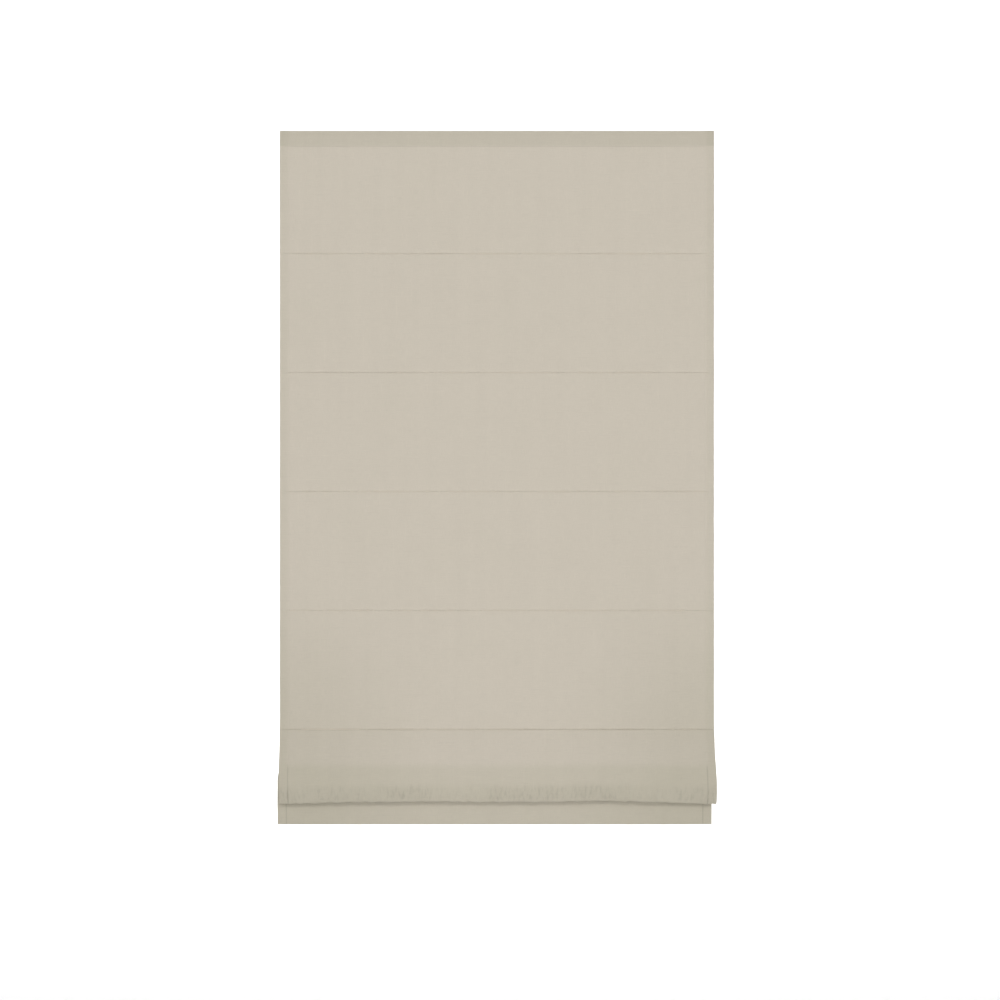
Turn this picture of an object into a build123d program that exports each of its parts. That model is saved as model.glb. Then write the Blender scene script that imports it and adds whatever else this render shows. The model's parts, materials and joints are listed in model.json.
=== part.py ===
from build123d import *

import math
import os

# A cordless roman blind in its own frame, in millimetres.
# X runs along the headrail, Y points back to the wall and Z points up.
# The origin is the middle of the four ceiling screw holes, on top of the brackets.

# ---- Cloth ----
BLIND_WIDTH = 1000.0
CLOTH_TOP = -0.6
CLOTH_THICKNESS = 1.0
HEM_THICKNESS = 1.6
SIDE_HEM = 20.0
FIRST_DROP = 283.0
PLEAT_PITCH = 274.0
FLAT_RODS = 5
FLAP_DROP = 138.0
LAST_ROD_DROP = 80.7
FOLD_REACH = 22.5
FOLD_DEPTH = 14.0
FOLD_RADIUS = 6.0
LAST_ROD_FOLD = 4.5
LAST_ROD_RADIUS = 2.1
BEND_RADIUS = 260.0
BEND_DROP = 24.0
BOTTOM_HEM = 45.0
HEM_LIP_GAP = 0.2

# ---- Headrail ----
RAIL_LENGTH = 988.0
RAIL_DEPTH = 50.0
RAIL_HEIGHT = 38.0
RAIL_WALL = 1.5
RAIL_TOP = -4.0
SLOT_MOUTH = 16.0
SLOT_HEIGHT = 4.0
SLOT_FLOOR = 1.3
LEDGE_WIDTH = 9.0
RAIL_FILLET = 0.8
CAP_THICKNESS = 3.0
CAP_PLUG = 8.0
CAP_WALL = 2.0
FIT = 0.3

# ---- Hook and loop tapes ----
TAPE_HEIGHT = 28.0
HOOK_THICKNESS = 1.0
LOOP_THICKNESS = 1.0
TAPE_DROP = 7.6
TAPE_END_GAP = 2.0

# ---- Brackets ----
BRACKET_SPACING = 800.0
PLATE = 1.5
PLATE_LEFT = 16.0
PLATE_RIGHT = 28.0
PLATE_FRONT = 17.0
BACK_LEG_DROP = 36.0
BACK_GAP = 0.5
SCREW_SPACING = 20.0
SCREW_RADIUS = 2.3
COUNTERSINK_RADIUS = 3.6
WALL_HOLE_TOP = 12.0
WALL_HOLE_SPACING = 16.0
HOOK_WIDTH = 10.0
HOOK_REACH = 6.5
CAM_OFFSET = 15.0
CAM_HALF_WIDTH = 6.5
CAM_REACH = 15.0
CAM_THICKNESS = 2.0
CAM_NECK = 4.0
LEVER_LENGTH = 19.0
LEVER_HALF_WIDTH = 4.0
LEVER_THICKNESS = 2.0
RIVET_RADIUS = 2.5
RIVET_HEAD_RADIUS = 4.0
RIVET_HEAD = 1.2
RIVET_FIT = 0.05
TURN_FIT = 0.1
LAYER_GAP = 0.2

# ---- Lift shaft and spools ----
SHAFT_SIDE = 5.0
SHAFT_Y = -6.0
SHAFT_DROP = 22.0
SHAFT_FIT = 0.1
SHAFT_END = 6.0
CORD_SPACING = 370.0
CORD_RADIUS = 0.6
CORD_BEND_DROP = 7.4
WIND_RADIUS = 7.0
SPOOL_LENGTH = 52.0
SPOOL_FEED = 4.0
FLANGE_RADIUS = 9.5
FLANGE_THICKNESS = 1.5
JOURNAL_RADIUS = 4.0
JOURNAL_LENGTH = 5.0
WRAP_TURNS = 6.5
CRADLE_WALL = 3.0
CRADLE_BASE = 3.0
CRADLE_HALF_WIDTH = 9.0
CRADLE_RISE = 8.0
CRADLE_SNAP = 6.6
TONGUE_DROP = 3.0
EYELET_RADIUS = 1.8
CLIP_RADIUS = 5.5
CLIP_THICKNESS = 1.6

# ---- Spring motor ----
MOTOR_X = -120.0
MOTOR_LENGTH = 28.0
MOTOR_WALL = 1.4
DRUM_LENGTH = 23.6
DRUM_FLANGE = 1.6
DRUM_SPACING = 19.0
OUTPUT_RADIUS = 6.8
OUTPUT_FLANGE = 10.0
OUTPUT_COIL = 8.5
STORE_RADIUS = 4.8
STORE_FLANGE = 7.6
STORE_COIL = 7.0
RIBBON_THICKNESS = 0.4
AXLE_RADIUS = 2.0
COVER_THICKNESS = 1.4

# ---- Brake ----
BRAKE_X = 140.0
BRAKE_LENGTH = 30.0
BRAKE_HALF_WIDTH = 12.0
BRAKE_BORE = 9.4
BRAKE_WHEEL_RADIUS = 7.0
BRAKE_SPRING_WALL = 1.2
BRAKE_SPRING_INSET = 1.0
BRAKE_RISE = 11.4

# ---- Rods, pockets, rings and bottom bar ----
ROD_RADIUS = 2.0
ROD_FIT = 0.3
POCKET_WALL = 0.6
POCKET_FLANGE = 0.8
POCKET_SKIRT = 5.0
POCKET_END_GAP = 3.0
ROD_INSET = 2.0
RING_RADIUS = 5.0
RING_WIRE = 1.1
ANCHOR_RADIUS = 5.2
ANCHOR_LENGTH = 10.0
ANCHOR_GAP = 0.3
BAR_WIDTH = 25.0
BAR_THICKNESS = 3.0
BAR_GAP = 0.3
BAR_CAP = 4.0
BAR_LIFT = 3.0

# ---- Places worked out from the sizes above ----
half_depth = RAIL_DEPTH / 2
rail_bottom = RAIL_TOP - RAIL_HEIGHT
ledge_top = rail_bottom + RAIL_WALL
slot_roof = RAIL_TOP - RAIL_WALL
slot_base = slot_roof - SLOT_HEIGHT
cavity_top = slot_base - SLOT_FLOOR
cavity_half = half_depth - RAIL_WALL
mouth_half = half_depth - LEDGE_WIDTH
shaft_z = RAIL_TOP - SHAFT_DROP

hook_front = -half_depth - HOOK_THICKNESS
cloth_back = hook_front - LOOP_THICKNESS
cloth_y = cloth_back - CLOTH_THICKNESS / 2
tape_length = BLIND_WIDTH - 2 * (SIDE_HEM + TAPE_END_GAP)
tape_z = CLOTH_TOP - TAPE_DROP - TAPE_HEIGHT / 2

pocket_bore = ROD_RADIUS + ROD_FIT
pocket_outer = pocket_bore + POCKET_WALL
seam_rise = POCKET_SKIRT / 2
seam_heights = [CLOTH_TOP - FIRST_DROP - step * PLEAT_PITCH for step in range(FLAT_RODS)]
seam_heights.append(seam_heights[-1] - LAST_ROD_DROP)
last_top = seam_heights[-1] + seam_rise

# The last pleat's cloth runs down the slanting front, round the fold and up the back to the
# last rod, so its slanting length and its upright length add up to two_runs.
turn_run = math.pi * FOLD_RADIUS + math.pi / 2 * LAST_ROD_RADIUS
two_runs = PLEAT_PITCH - turn_run - 2 * seam_rise + LAST_ROD_DROP
front_drop = (two_runs**2 - FOLD_REACH**2) / (2 * two_runs)
fold_z = seam_heights[FLAT_RODS - 1] - front_drop - FOLD_RADIUS
cloth_bottom = seam_heights[-1] - FLAP_DROP
rod_heights = [seam + seam_rise + pocket_outer for seam in seam_heights]

flange_y = cloth_back + POCKET_FLANGE / 2
rod_y = cloth_back + pocket_outer
ring_y = rod_y + pocket_outer + RING_RADIUS + RING_WIRE + LAYER_GAP
pocket_length = BLIND_WIDTH - 2 * (SIDE_HEM + POCKET_END_GAP)
rod_length = pocket_length - 2 * ROD_INSET

cord_places = [-CORD_SPACING, 0.0, CORD_SPACING]
cord_y = SHAFT_Y + WIND_RADIUS
drum_radius = WIND_RADIUS - CORD_RADIUS
cord_end = rod_heights[-1] - RING_WIRE - ANCHOR_GAP - ANCHOR_LENGTH / 2

sides = {"left": -1, "right": 1}
places = {"left": -CORD_SPACING, "centre": 0.0, "right": CORD_SPACING}

os.makedirs("parts", exist_ok=True)


def save(builder, name):
    """Label a finished piece and write it under the same name."""
    builder.part.label = name
    export_step(builder.part, f"parts/{name}.step")


def along_x(x, y, z):
    """A plane across the blind at one place, whose normal points along X."""
    return Plane(origin=(x, y, z), x_dir=(0, 1, 0), z_dir=(1, 0, 0))


# ---- Headrail: one extrusion with a bracket slot on top and two ledges below ----
with BuildPart() as headrail:
    with BuildSketch(Plane.YZ):
        with Locations((0, RAIL_TOP - RAIL_HEIGHT / 2)):
            rail_outline = Rectangle(RAIL_DEPTH, RAIL_HEIGHT)
        fillet(rail_outline.vertices(), RAIL_FILLET)
        with Locations((0, (slot_roof + slot_base) / 2)):
            Rectangle(2 * cavity_half, SLOT_HEIGHT, mode=Mode.SUBTRACT)
        with Locations((0, (RAIL_TOP + slot_base) / 2)):
            Rectangle(SLOT_MOUTH, RAIL_TOP - slot_base, mode=Mode.SUBTRACT)
        with Locations((0, (cavity_top + ledge_top) / 2)):
            Rectangle(2 * cavity_half, cavity_top - ledge_top, mode=Mode.SUBTRACT)
        with Locations((0, (cavity_top + rail_bottom) / 2)):
            Rectangle(2 * mouth_half, cavity_top - rail_bottom, mode=Mode.SUBTRACT)
    extrude(amount=RAIL_LENGTH / 2, both=True)
save(headrail, "headrail")


def end_cap(side):
    """A moulded cap whose hollow plug slides into the end of the headrail."""
    outer = side * RAIL_LENGTH / 2
    plug_depth = 2 * (cavity_half - FIT)
    plug_height = cavity_top - ledge_top - 2 * FIT
    with BuildPart() as cap:
        with BuildSketch(along_x(outer, 0, RAIL_TOP - RAIL_HEIGHT / 2)):
            plate = Rectangle(RAIL_DEPTH, RAIL_HEIGHT)
            fillet(plate.vertices(), RAIL_FILLET)
        extrude(amount=side * CAP_THICKNESS)
        with BuildSketch(along_x(outer, 0, (cavity_top + ledge_top) / 2)):
            Rectangle(plug_depth, plug_height)
            Rectangle(plug_depth - 2 * CAP_WALL, plug_height - 2 * CAP_WALL, mode=Mode.SUBTRACT)
        extrude(amount=-side * CAP_PLUG)
    return cap


for side_name, side in sides.items():
    save(end_cap(side), f"end_cap_{side_name}")


# ---- Hook tape glued to the headrail, loop tape sewn to the cloth ----
with BuildPart() as hook_tape:
    with Locations((0, (hook_front - half_depth) / 2, tape_z)):
        Box(tape_length, HOOK_THICKNESS, TAPE_HEIGHT)
save(hook_tape, "hook_tape")

with BuildPart() as loop_tape:
    with Locations((0, (cloth_back + hook_front) / 2, tape_z)):
        Box(tape_length, LOOP_THICKNESS, TAPE_HEIGHT)
save(loop_tape, "loop_tape")


# ---- Cloth: one length that folds forward under the fifth rod, goes back up to the
# sixth and hangs down again to its bottom hem, which wraps the bar ----
fold_front = cloth_y - FOLD_REACH
fold_back = fold_front + FOLD_DEPTH
hem_y = cloth_back + 2 * BAR_GAP + BAR_THICKNESS + CLOTH_THICKNESS / 2
hem_turn = (hem_y - cloth_y) / 2 - FIT / 2
hem_lip = cloth_y + HEM_THICKNESS + HEM_LIP_GAP
hem_slope = BAR_LIFT + BAR_WIDTH + BAR_LIFT
cloth_points = [
    (cloth_y, CLOTH_TOP),
    (cloth_y, seam_heights[FLAT_RODS - 1] - BEND_DROP),
    (fold_front, fold_z),
    (fold_back, fold_z),
    (cloth_y - LAST_ROD_FOLD, last_top),
    (cloth_y, last_top),
    (cloth_y, cloth_bottom),
    (hem_y, cloth_bottom),
    (hem_y, cloth_bottom + hem_slope),
    (hem_lip, cloth_bottom + BOTTOM_HEM),
]
cloth_radii = [
    BEND_RADIUS,
    FOLD_RADIUS,
    FOLD_RADIUS,
    LAST_ROD_RADIUS,
    LAST_ROD_RADIUS,
    hem_turn,
    hem_turn,
    FOLD_RADIUS,
]


def cloth_side(distance):
    """Corners and bend radii of the line that runs this far to one side of the cloth's middle."""
    corners = [Vector(*point) for point in cloth_points]
    runs = [(after - before).normalized() for before, after in zip(corners, corners[1:])]
    normals = [Vector(-run.Y, run.X) for run in runs]
    moved = [corners[0] + normals[0] * distance]
    radii = []
    for place, first, second in zip(corners[1:], normals, normals[1:]):
        moved.append(place + (first + second) * (distance / (1 + first.dot(second))))
        turn = math.copysign(1, first.cross(second).Z)
        radii.append(cloth_radii[len(radii)] - turn * distance)
    moved.append(corners[-1] + normals[-1] * distance)
    return moved, radii


hem_x = (BLIND_WIDTH - SIDE_HEM) / 2
cloth_bands = [
    (0.0, BLIND_WIDTH - 2 * SIDE_HEM, CLOTH_THICKNESS),
    (-hem_x, SIDE_HEM, HEM_THICKNESS),
    (hem_x, SIDE_HEM, HEM_THICKNESS),
]
with BuildPart() as face_fabric:
    for band_x, band_width, band_thickness in cloth_bands:
        face_side, face_radii = cloth_side(band_thickness / 2)
        back_side, back_radii = cloth_side(-band_thickness / 2)
        with BuildSketch(along_x(band_x, 0, 0)):
            with BuildLine():
                FilletPolyline(*face_side, radius=face_radii)
                FilletPolyline(*back_side, radius=back_radii)
                Line(face_side[0], back_side[0])
                Line(face_side[-1], back_side[-1])
            make_face()
        extrude(amount=band_width / 2, both=True)
save(face_fabric, "face_fabric")


# ---- Brackets: a bent steel angle with a fixed front hook, and a cam on a rivet that
# turns under the headrail's rear lip ----
lip_under = slot_roof - FIT
leg_front = half_depth + BACK_GAP
wall_y = leg_front + PLATE
hook_web = -SLOT_MOUTH / 2 + FIT
cam_bottom = lip_under - CAM_THICKNESS
lever_top = -PLATE - LAYER_GAP
head_top = cam_bottom - LAYER_GAP
bracket_places = {name: side * BRACKET_SPACING / 2 for name, side in sides.items()}


def bracket(x):
    """A mounting bracket whose two ceiling holes stand at one place along the rail."""
    plate_x = x + (PLATE_RIGHT - PLATE_LEFT) / 2
    plate_width = PLATE_LEFT + PLATE_RIGHT
    hook_x = x - PLATE_LEFT + HOOK_WIDTH / 2
    hook_depth = HOOK_REACH + PLATE
    with BuildPart() as body:
        with Locations((plate_x, (wall_y - PLATE_FRONT) / 2, -PLATE / 2)):
            Box(plate_width, wall_y + PLATE_FRONT, PLATE)
        with Locations((plate_x, wall_y - PLATE / 2, -BACK_LEG_DROP / 2)):
            Box(plate_width, PLATE, BACK_LEG_DROP)
        with Locations((hook_x, hook_web + PLATE / 2, (lip_under - PLATE) / 2)):
            Box(HOOK_WIDTH, PLATE, -lip_under + PLATE)
        with Locations((hook_x, hook_web + PLATE - hook_depth / 2, lip_under - PLATE / 2)):
            Box(HOOK_WIDTH, hook_depth, PLATE)
        corners = body.edges().filter_by(Axis.Z).group_by(Axis.Y)[0]
        fillet(corners.filter_by(lambda edge: edge.center().Z > lip_under), LEVER_THICKNESS)
        with Locations(Plane(origin=(x, 0, -PLATE), x_dir=(1, 0, 0), z_dir=(0, 0, -1))):
            with GridLocations(1, SCREW_SPACING, 1, 2):
                CounterSinkHole(SCREW_RADIUS, COUNTERSINK_RADIUS, depth=PLATE)
            with Locations((CAM_OFFSET, 0)):
                Hole(RIVET_RADIUS + RIVET_FIT, depth=PLATE)
        wall_middle = -WALL_HOLE_TOP - WALL_HOLE_SPACING / 2
        with Locations(Plane(origin=(x, leg_front, wall_middle), x_dir=(1, 0, 0), z_dir=(0, -1, 0))):
            with GridLocations(1, WALL_HOLE_SPACING, 1, 2):
                CounterSinkHole(SCREW_RADIUS, COUNTERSINK_RADIUS, depth=PLATE)
    return body


def bracket_cam(x):
    """A cast cam: a lobe under the headrail's lips, a neck in the slot and a lever on top."""
    with BuildPart() as cam:
        with BuildSketch(Plane.XY.offset(cam_bottom)):
            with Locations((x, 0)):
                Circle(CAM_HALF_WIDTH)
            with Locations((x, (CAM_REACH - CAM_HALF_WIDTH) / 2)):
                Rectangle(2 * CAM_HALF_WIDTH, CAM_REACH - CAM_HALF_WIDTH)
            with Locations((x, CAM_REACH - CAM_HALF_WIDTH)):
                Circle(CAM_HALF_WIDTH)
        extrude(amount=CAM_THICKNESS)
        with BuildSketch(Plane.XY.offset(lip_under)):
            with Locations((x, 0)):
                Circle(CAM_NECK)
        extrude(amount=lever_top - lip_under)
        with BuildSketch(Plane.XY.offset(lever_top - LEVER_THICKNESS)):
            with Locations((x, -LEVER_LENGTH / 2 + LEVER_HALF_WIDTH / 2)):
                lever = Rectangle(2 * LEVER_HALF_WIDTH, LEVER_LENGTH + LEVER_HALF_WIDTH)
            fillet(lever.vertices().group_by(Axis.Y)[0], LEVER_HALF_WIDTH / 2)
        extrude(amount=LEVER_THICKNESS)
        with Locations((x, 0, lever_top)):
            Hole(RIVET_RADIUS + TURN_FIT)
    return cam


for side_name, place in bracket_places.items():
    save(bracket(place), f"bracket_{side_name}")
    save(bracket_cam(place + CAM_OFFSET), f"bracket_cam_{side_name}")

with BuildPart() as bracket_rivets:
    for place in bracket_places.values():
        with BuildSketch(Plane.XY):
            with Locations((place + CAM_OFFSET, 0)):
                Circle(RIVET_RADIUS)
        extrude(amount=head_top)
        with BuildSketch(Plane.XY.offset(head_top)):
            with Locations((place + CAM_OFFSET, 0)):
                Circle(RIVET_HEAD_RADIUS)
        extrude(amount=-RIVET_HEAD)
save(bracket_rivets, "bracket_rivets")


# ---- Lift shaft, with a spool in a cradle above each cord ----
spool_middles = {name: x - SPOOL_FEED + SPOOL_LENGTH / 2 for name, x in places.items()}
spool_reach = SPOOL_LENGTH / 2 + FLANGE_THICKNESS
wall_start = spool_reach + 2 * LAYER_GAP
wall_end = wall_start + CRADLE_WALL
clip_start = wall_end + 2 * LAYER_GAP + JOURNAL_LENGTH - CRADLE_WALL
shaft_left = spool_middles["left"] - clip_start - CLIP_THICKNESS - SHAFT_END
shaft_right = spool_middles["right"] + clip_start + CLIP_THICKNESS + SHAFT_END
cradle_top = shaft_z + CRADLE_RISE
tongue_depth = 2 * (mouth_half - FIT)


def spool(middle):
    """A cord spool: two flanges, a feed ramp, a square bore and a journal at each end."""
    ramp = SPOOL_FEED - 2 * CORD_RADIUS
    start = -spool_reach - JOURNAL_LENGTH
    with BuildPart() as body:
        with BuildSketch(Plane(origin=(middle, SHAFT_Y, shaft_z), x_dir=(1, 0, 0), z_dir=(0, -1, 0))):
            with BuildLine():
                Polyline(
                    (start, 0),
                    (start, JOURNAL_RADIUS),
                    (-spool_reach, JOURNAL_RADIUS),
                    (-spool_reach, FLANGE_RADIUS),
                    (-SPOOL_LENGTH / 2, FLANGE_RADIUS),
                    (-SPOOL_LENGTH / 2, drum_radius + CORD_RADIUS),
                    (-SPOOL_LENGTH / 2 + ramp, drum_radius),
                    (SPOOL_LENGTH / 2, drum_radius),
                    (SPOOL_LENGTH / 2, FLANGE_RADIUS),
                    (spool_reach, FLANGE_RADIUS),
                    (spool_reach, JOURNAL_RADIUS),
                    (-start, JOURNAL_RADIUS),
                    (-start, 0),
                    close=True,
                )
            make_face()
        revolve(axis=Axis((middle, SHAFT_Y, shaft_z), (1, 0, 0)))
        with BuildSketch(along_x(middle + start, SHAFT_Y, shaft_z)):
            Rectangle(SHAFT_SIDE + 2 * SHAFT_FIT, SHAFT_SIDE + 2 * SHAFT_FIT)
        extrude(amount=-2 * start, mode=Mode.SUBTRACT)
    return body


def cradle(middle, cord_x):
    """A cradle on the headrail's ledges: two snap-in journal seats and a cord eyelet."""
    length = 2 * wall_end
    with BuildPart() as body:
        with BuildSketch(Plane.XY.offset(ledge_top)):
            with Locations((middle, 0)):
                Rectangle(length, 2 * (cavity_half - FIT))
        extrude(amount=CRADLE_BASE)
        with BuildSketch(Plane.XY.offset(ledge_top)):
            with Locations((middle, 0)):
                Rectangle(length, tongue_depth)
        extrude(amount=-TONGUE_DROP)
        for wall_x in (middle - wall_end, middle + wall_start):
            with BuildSketch(along_x(wall_x, SHAFT_Y, 0)):
                with Locations((0, (cradle_top + ledge_top) / 2)):
                    Rectangle(2 * CRADLE_HALF_WIDTH, cradle_top - ledge_top)
                with Locations((0, shaft_z)):
                    Circle(JOURNAL_RADIUS + SHAFT_FIT, mode=Mode.SUBTRACT)
                with Locations((0, shaft_z + CRADLE_RISE / 2)):
                    Rectangle(CRADLE_SNAP, CRADLE_RISE, mode=Mode.SUBTRACT)
            extrude(amount=CRADLE_WALL)
        with Locations((cord_x, cord_y, ledge_top + CRADLE_BASE)):
            Hole(EYELET_RADIUS)
        circles = body.edges().filter_by(GeomType.CIRCLE)
        rim = circles.filter_by(lambda edge: edge.is_closed and edge.radius == EYELET_RADIUS)
        chamfer(rim, CORD_RADIUS / 2)
    return body


def cord_wrap(cord_x):
    """The turns of cord that lie on one spool while the blind hangs almost lowered."""
    start = cord_x + CORD_RADIUS + LAYER_GAP / 2
    with BuildPart() as wrap:
        with BuildSketch(along_x(start, SHAFT_Y, shaft_z)):
            Circle(WIND_RADIUS + CORD_RADIUS)
            Circle(drum_radius + RIVET_FIT, mode=Mode.SUBTRACT)
        extrude(amount=WRAP_TURNS * 2 * CORD_RADIUS)
    return wrap


with BuildPart() as lift_shaft:
    with BuildSketch(along_x(shaft_left, SHAFT_Y, shaft_z)):
        bar = Rectangle(SHAFT_SIDE, SHAFT_SIDE)
        fillet(bar.vertices(), LAYER_GAP)
    extrude(amount=shaft_right - shaft_left)
save(lift_shaft, "lift_shaft")

for place_name, cord_x in places.items():
    save(spool(spool_middles[place_name]), f"spool_{place_name}")
    save(cradle(spool_middles[place_name], cord_x), f"cradle_{place_name}")
    save(cord_wrap(cord_x), f"cord_wrap_{place_name}")

clip_places = [spool_middles["left"] - clip_start - CLIP_THICKNESS, spool_middles["right"] + clip_start]
with BuildPart() as shaft_clips:
    for clip_x in clip_places:
        with BuildSketch(along_x(clip_x, SHAFT_Y, shaft_z)):
            Circle(CLIP_RADIUS)
            Rectangle(SHAFT_SIDE + 2 * RIVET_FIT, SHAFT_SIDE + 2 * RIVET_FIT, mode=Mode.SUBTRACT)
        extrude(amount=CLIP_THICKNESS)
save(shaft_clips, "shaft_clips")


# ---- Lift cords: off the back of each spool, through the eyelet and every ring ----
print("lift cord bend radii", BEND_RADIUS, BEND_RADIUS)
for place_name, cord_x in places.items():
    with BuildPart() as lift_cord:
        with BuildLine(Plane(origin=(cord_x, 0, 0), x_dir=(0, 1, 0), z_dir=(1, 0, 0))) as cord_route:
            FilletPolyline(
                (cord_y, shaft_z),
                (cord_y, rail_bottom - CORD_BEND_DROP),
                (ring_y, rod_heights[0]),
                (ring_y, cord_end),
                radius=[BEND_RADIUS, BEND_RADIUS],
            )
        with BuildSketch(Plane(origin=(cord_x, cord_y, shaft_z), x_dir=(1, 0, 0), z_dir=(0, 0, -1))):
            Circle(CORD_RADIUS)
        sweep()
    save(lift_cord, f"lift_cord_{place_name}")


# ---- Spring motor: a ribbon spring wound from a store drum onto an output drum ----
store_y = SHAFT_Y + DRUM_SPACING
motor_front = SHAFT_Y - OUTPUT_FLANGE - FIT - MOTOR_WALL
motor_back = store_y + STORE_FLANGE + FIT + MOTOR_WALL
motor_middle = (motor_front + motor_back) / 2
motor_depth = motor_back - motor_front
motor_top = shaft_z + OUTPUT_FLANGE + FIT
drum_body = DRUM_LENGTH - 2 * DRUM_FLANGE
case_start = MOTOR_X - MOTOR_LENGTH / 2
inner_length = MOTOR_LENGTH - 2 * MOTOR_WALL
journal_run = (MOTOR_LENGTH - DRUM_LENGTH) / 2

with BuildPart() as motor_case:
    with BuildSketch(along_x(case_start, 0, 0)):
        with Locations((motor_middle, (motor_top + ledge_top) / 2)):
            Rectangle(motor_depth, motor_top - ledge_top)
    extrude(amount=MOTOR_LENGTH)
    with BuildSketch(along_x(case_start + MOTOR_WALL, 0, 0)):
        with Locations((motor_middle, (motor_top + ledge_top + MOTOR_WALL) / 2)):
            Rectangle(motor_depth - 2 * MOTOR_WALL, motor_top - ledge_top - MOTOR_WALL)
    extrude(amount=inner_length, mode=Mode.SUBTRACT)
    with BuildSketch(along_x(case_start, 0, 0)):
        with Locations((SHAFT_Y, shaft_z)):
            Circle(JOURNAL_RADIUS + SHAFT_FIT)
        with Locations((store_y, shaft_z)):
            Circle(AXLE_RADIUS + RIVET_FIT)
    extrude(amount=MOTOR_LENGTH, mode=Mode.SUBTRACT)
save(motor_case, "motor_case")

with BuildPart() as motor_cover:
    with BuildSketch(Plane.XY.offset(motor_top)):
        with Locations((MOTOR_X, motor_middle)):
            cover = Rectangle(MOTOR_LENGTH, motor_depth)
        fillet(cover.vertices(), COVER_THICKNESS)
    extrude(amount=COVER_THICKNESS)
save(motor_cover, "motor_cover")

with BuildPart() as motor_output_drum:
    with BuildSketch(along_x(case_start, SHAFT_Y, shaft_z)):
        Circle(JOURNAL_RADIUS)
    extrude(amount=MOTOR_LENGTH)
    with BuildSketch(along_x(case_start + journal_run, SHAFT_Y, shaft_z)):
        Circle(OUTPUT_FLANGE)
    extrude(amount=DRUM_LENGTH)
    with BuildSketch(along_x(MOTOR_X - drum_body / 2, SHAFT_Y, shaft_z)):
        Circle(OUTPUT_FLANGE)
        Circle(OUTPUT_RADIUS, mode=Mode.SUBTRACT)
    extrude(amount=drum_body, mode=Mode.SUBTRACT)
    with BuildSketch(along_x(case_start, SHAFT_Y, shaft_z)):
        Rectangle(SHAFT_SIDE + 2 * SHAFT_FIT, SHAFT_SIDE + 2 * SHAFT_FIT)
    extrude(amount=MOTOR_LENGTH, mode=Mode.SUBTRACT)
save(motor_output_drum, "motor_output_drum")

with BuildPart() as motor_store_drum:
    with BuildSketch(along_x(case_start + journal_run, store_y, shaft_z)):
        Circle(STORE_FLANGE)
    extrude(amount=DRUM_LENGTH)
    with BuildSketch(along_x(MOTOR_X - drum_body / 2, store_y, shaft_z)):
        Circle(STORE_FLANGE)
        Circle(STORE_RADIUS, mode=Mode.SUBTRACT)
    extrude(amount=drum_body, mode=Mode.SUBTRACT)
    with BuildSketch(along_x(case_start, store_y, shaft_z)):
        Circle(AXLE_RADIUS + SHAFT_FIT)
    extrude(amount=MOTOR_LENGTH, mode=Mode.SUBTRACT)
save(motor_store_drum, "motor_store_drum")

with BuildPart() as motor_axle:
    with BuildSketch(along_x(case_start, store_y, shaft_z)):
        Circle(AXLE_RADIUS)
    extrude(amount=MOTOR_LENGTH)
save(motor_axle, "motor_axle")

# The ribbon leaves the top of the store coil and runs under the output coil, along the
# inner tangent of the two.
strip_start_radius = STORE_COIL - RIBBON_THICKNESS / 2
strip_end_radius = OUTPUT_COIL - RIBBON_THICKNESS / 2
lean = math.acos((strip_start_radius + strip_end_radius) / DRUM_SPACING)
store_touch = (
    store_y - strip_start_radius * math.cos(lean),
    shaft_z + strip_start_radius * math.sin(lean),
)
output_touch = (
    SHAFT_Y + strip_end_radius * math.cos(lean),
    shaft_z - strip_end_radius * math.sin(lean),
)
with BuildPart() as motor_spring:
    with BuildSketch(along_x(MOTOR_X - drum_body / 2 + LAYER_GAP, 0, 0)):
        with Locations((store_y, shaft_z)):
            Circle(STORE_COIL)
            Circle(STORE_RADIUS + LAYER_GAP, mode=Mode.SUBTRACT)
        with Locations((SHAFT_Y, shaft_z)):
            Circle(OUTPUT_COIL)
            Circle(OUTPUT_RADIUS + LAYER_GAP, mode=Mode.SUBTRACT)
        with BuildLine() as strip:
            Line(store_touch, output_touch)
        trace(line_width=RIBBON_THICKNESS)
    extrude(amount=drum_body - 2 * LAYER_GAP)
save(motor_spring, "motor_spring")


# ---- Brake: a wrap spring that grips a wheel on the shaft inside a fixed block ----
brake_start = BRAKE_X - BRAKE_LENGTH / 2
brake_top = shaft_z + BRAKE_RISE
brake_bore_length = BRAKE_LENGTH - 2 * MOTOR_WALL

with BuildPart() as brake_housing:
    with BuildSketch(along_x(brake_start, 0, 0)):
        with Locations((SHAFT_Y, (brake_top + ledge_top) / 2)):
            Rectangle(2 * BRAKE_HALF_WIDTH, brake_top - ledge_top)
    extrude(amount=BRAKE_LENGTH)
    with BuildSketch(Plane.XY.offset(ledge_top)):
        with Locations((BRAKE_X, 0)):
            Rectangle(BRAKE_LENGTH, 2 * (cavity_half - FIT))
    extrude(amount=CRADLE_BASE)
    with BuildSketch(along_x(brake_start + MOTOR_WALL, SHAFT_Y, shaft_z)):
        Circle(BRAKE_BORE)
    extrude(amount=brake_bore_length, mode=Mode.SUBTRACT)
    with BuildSketch(along_x(brake_start, SHAFT_Y, shaft_z)):
        Circle(JOURNAL_RADIUS + SHAFT_FIT)
    extrude(amount=BRAKE_LENGTH, mode=Mode.SUBTRACT)
save(brake_housing, "brake_housing")

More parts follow.
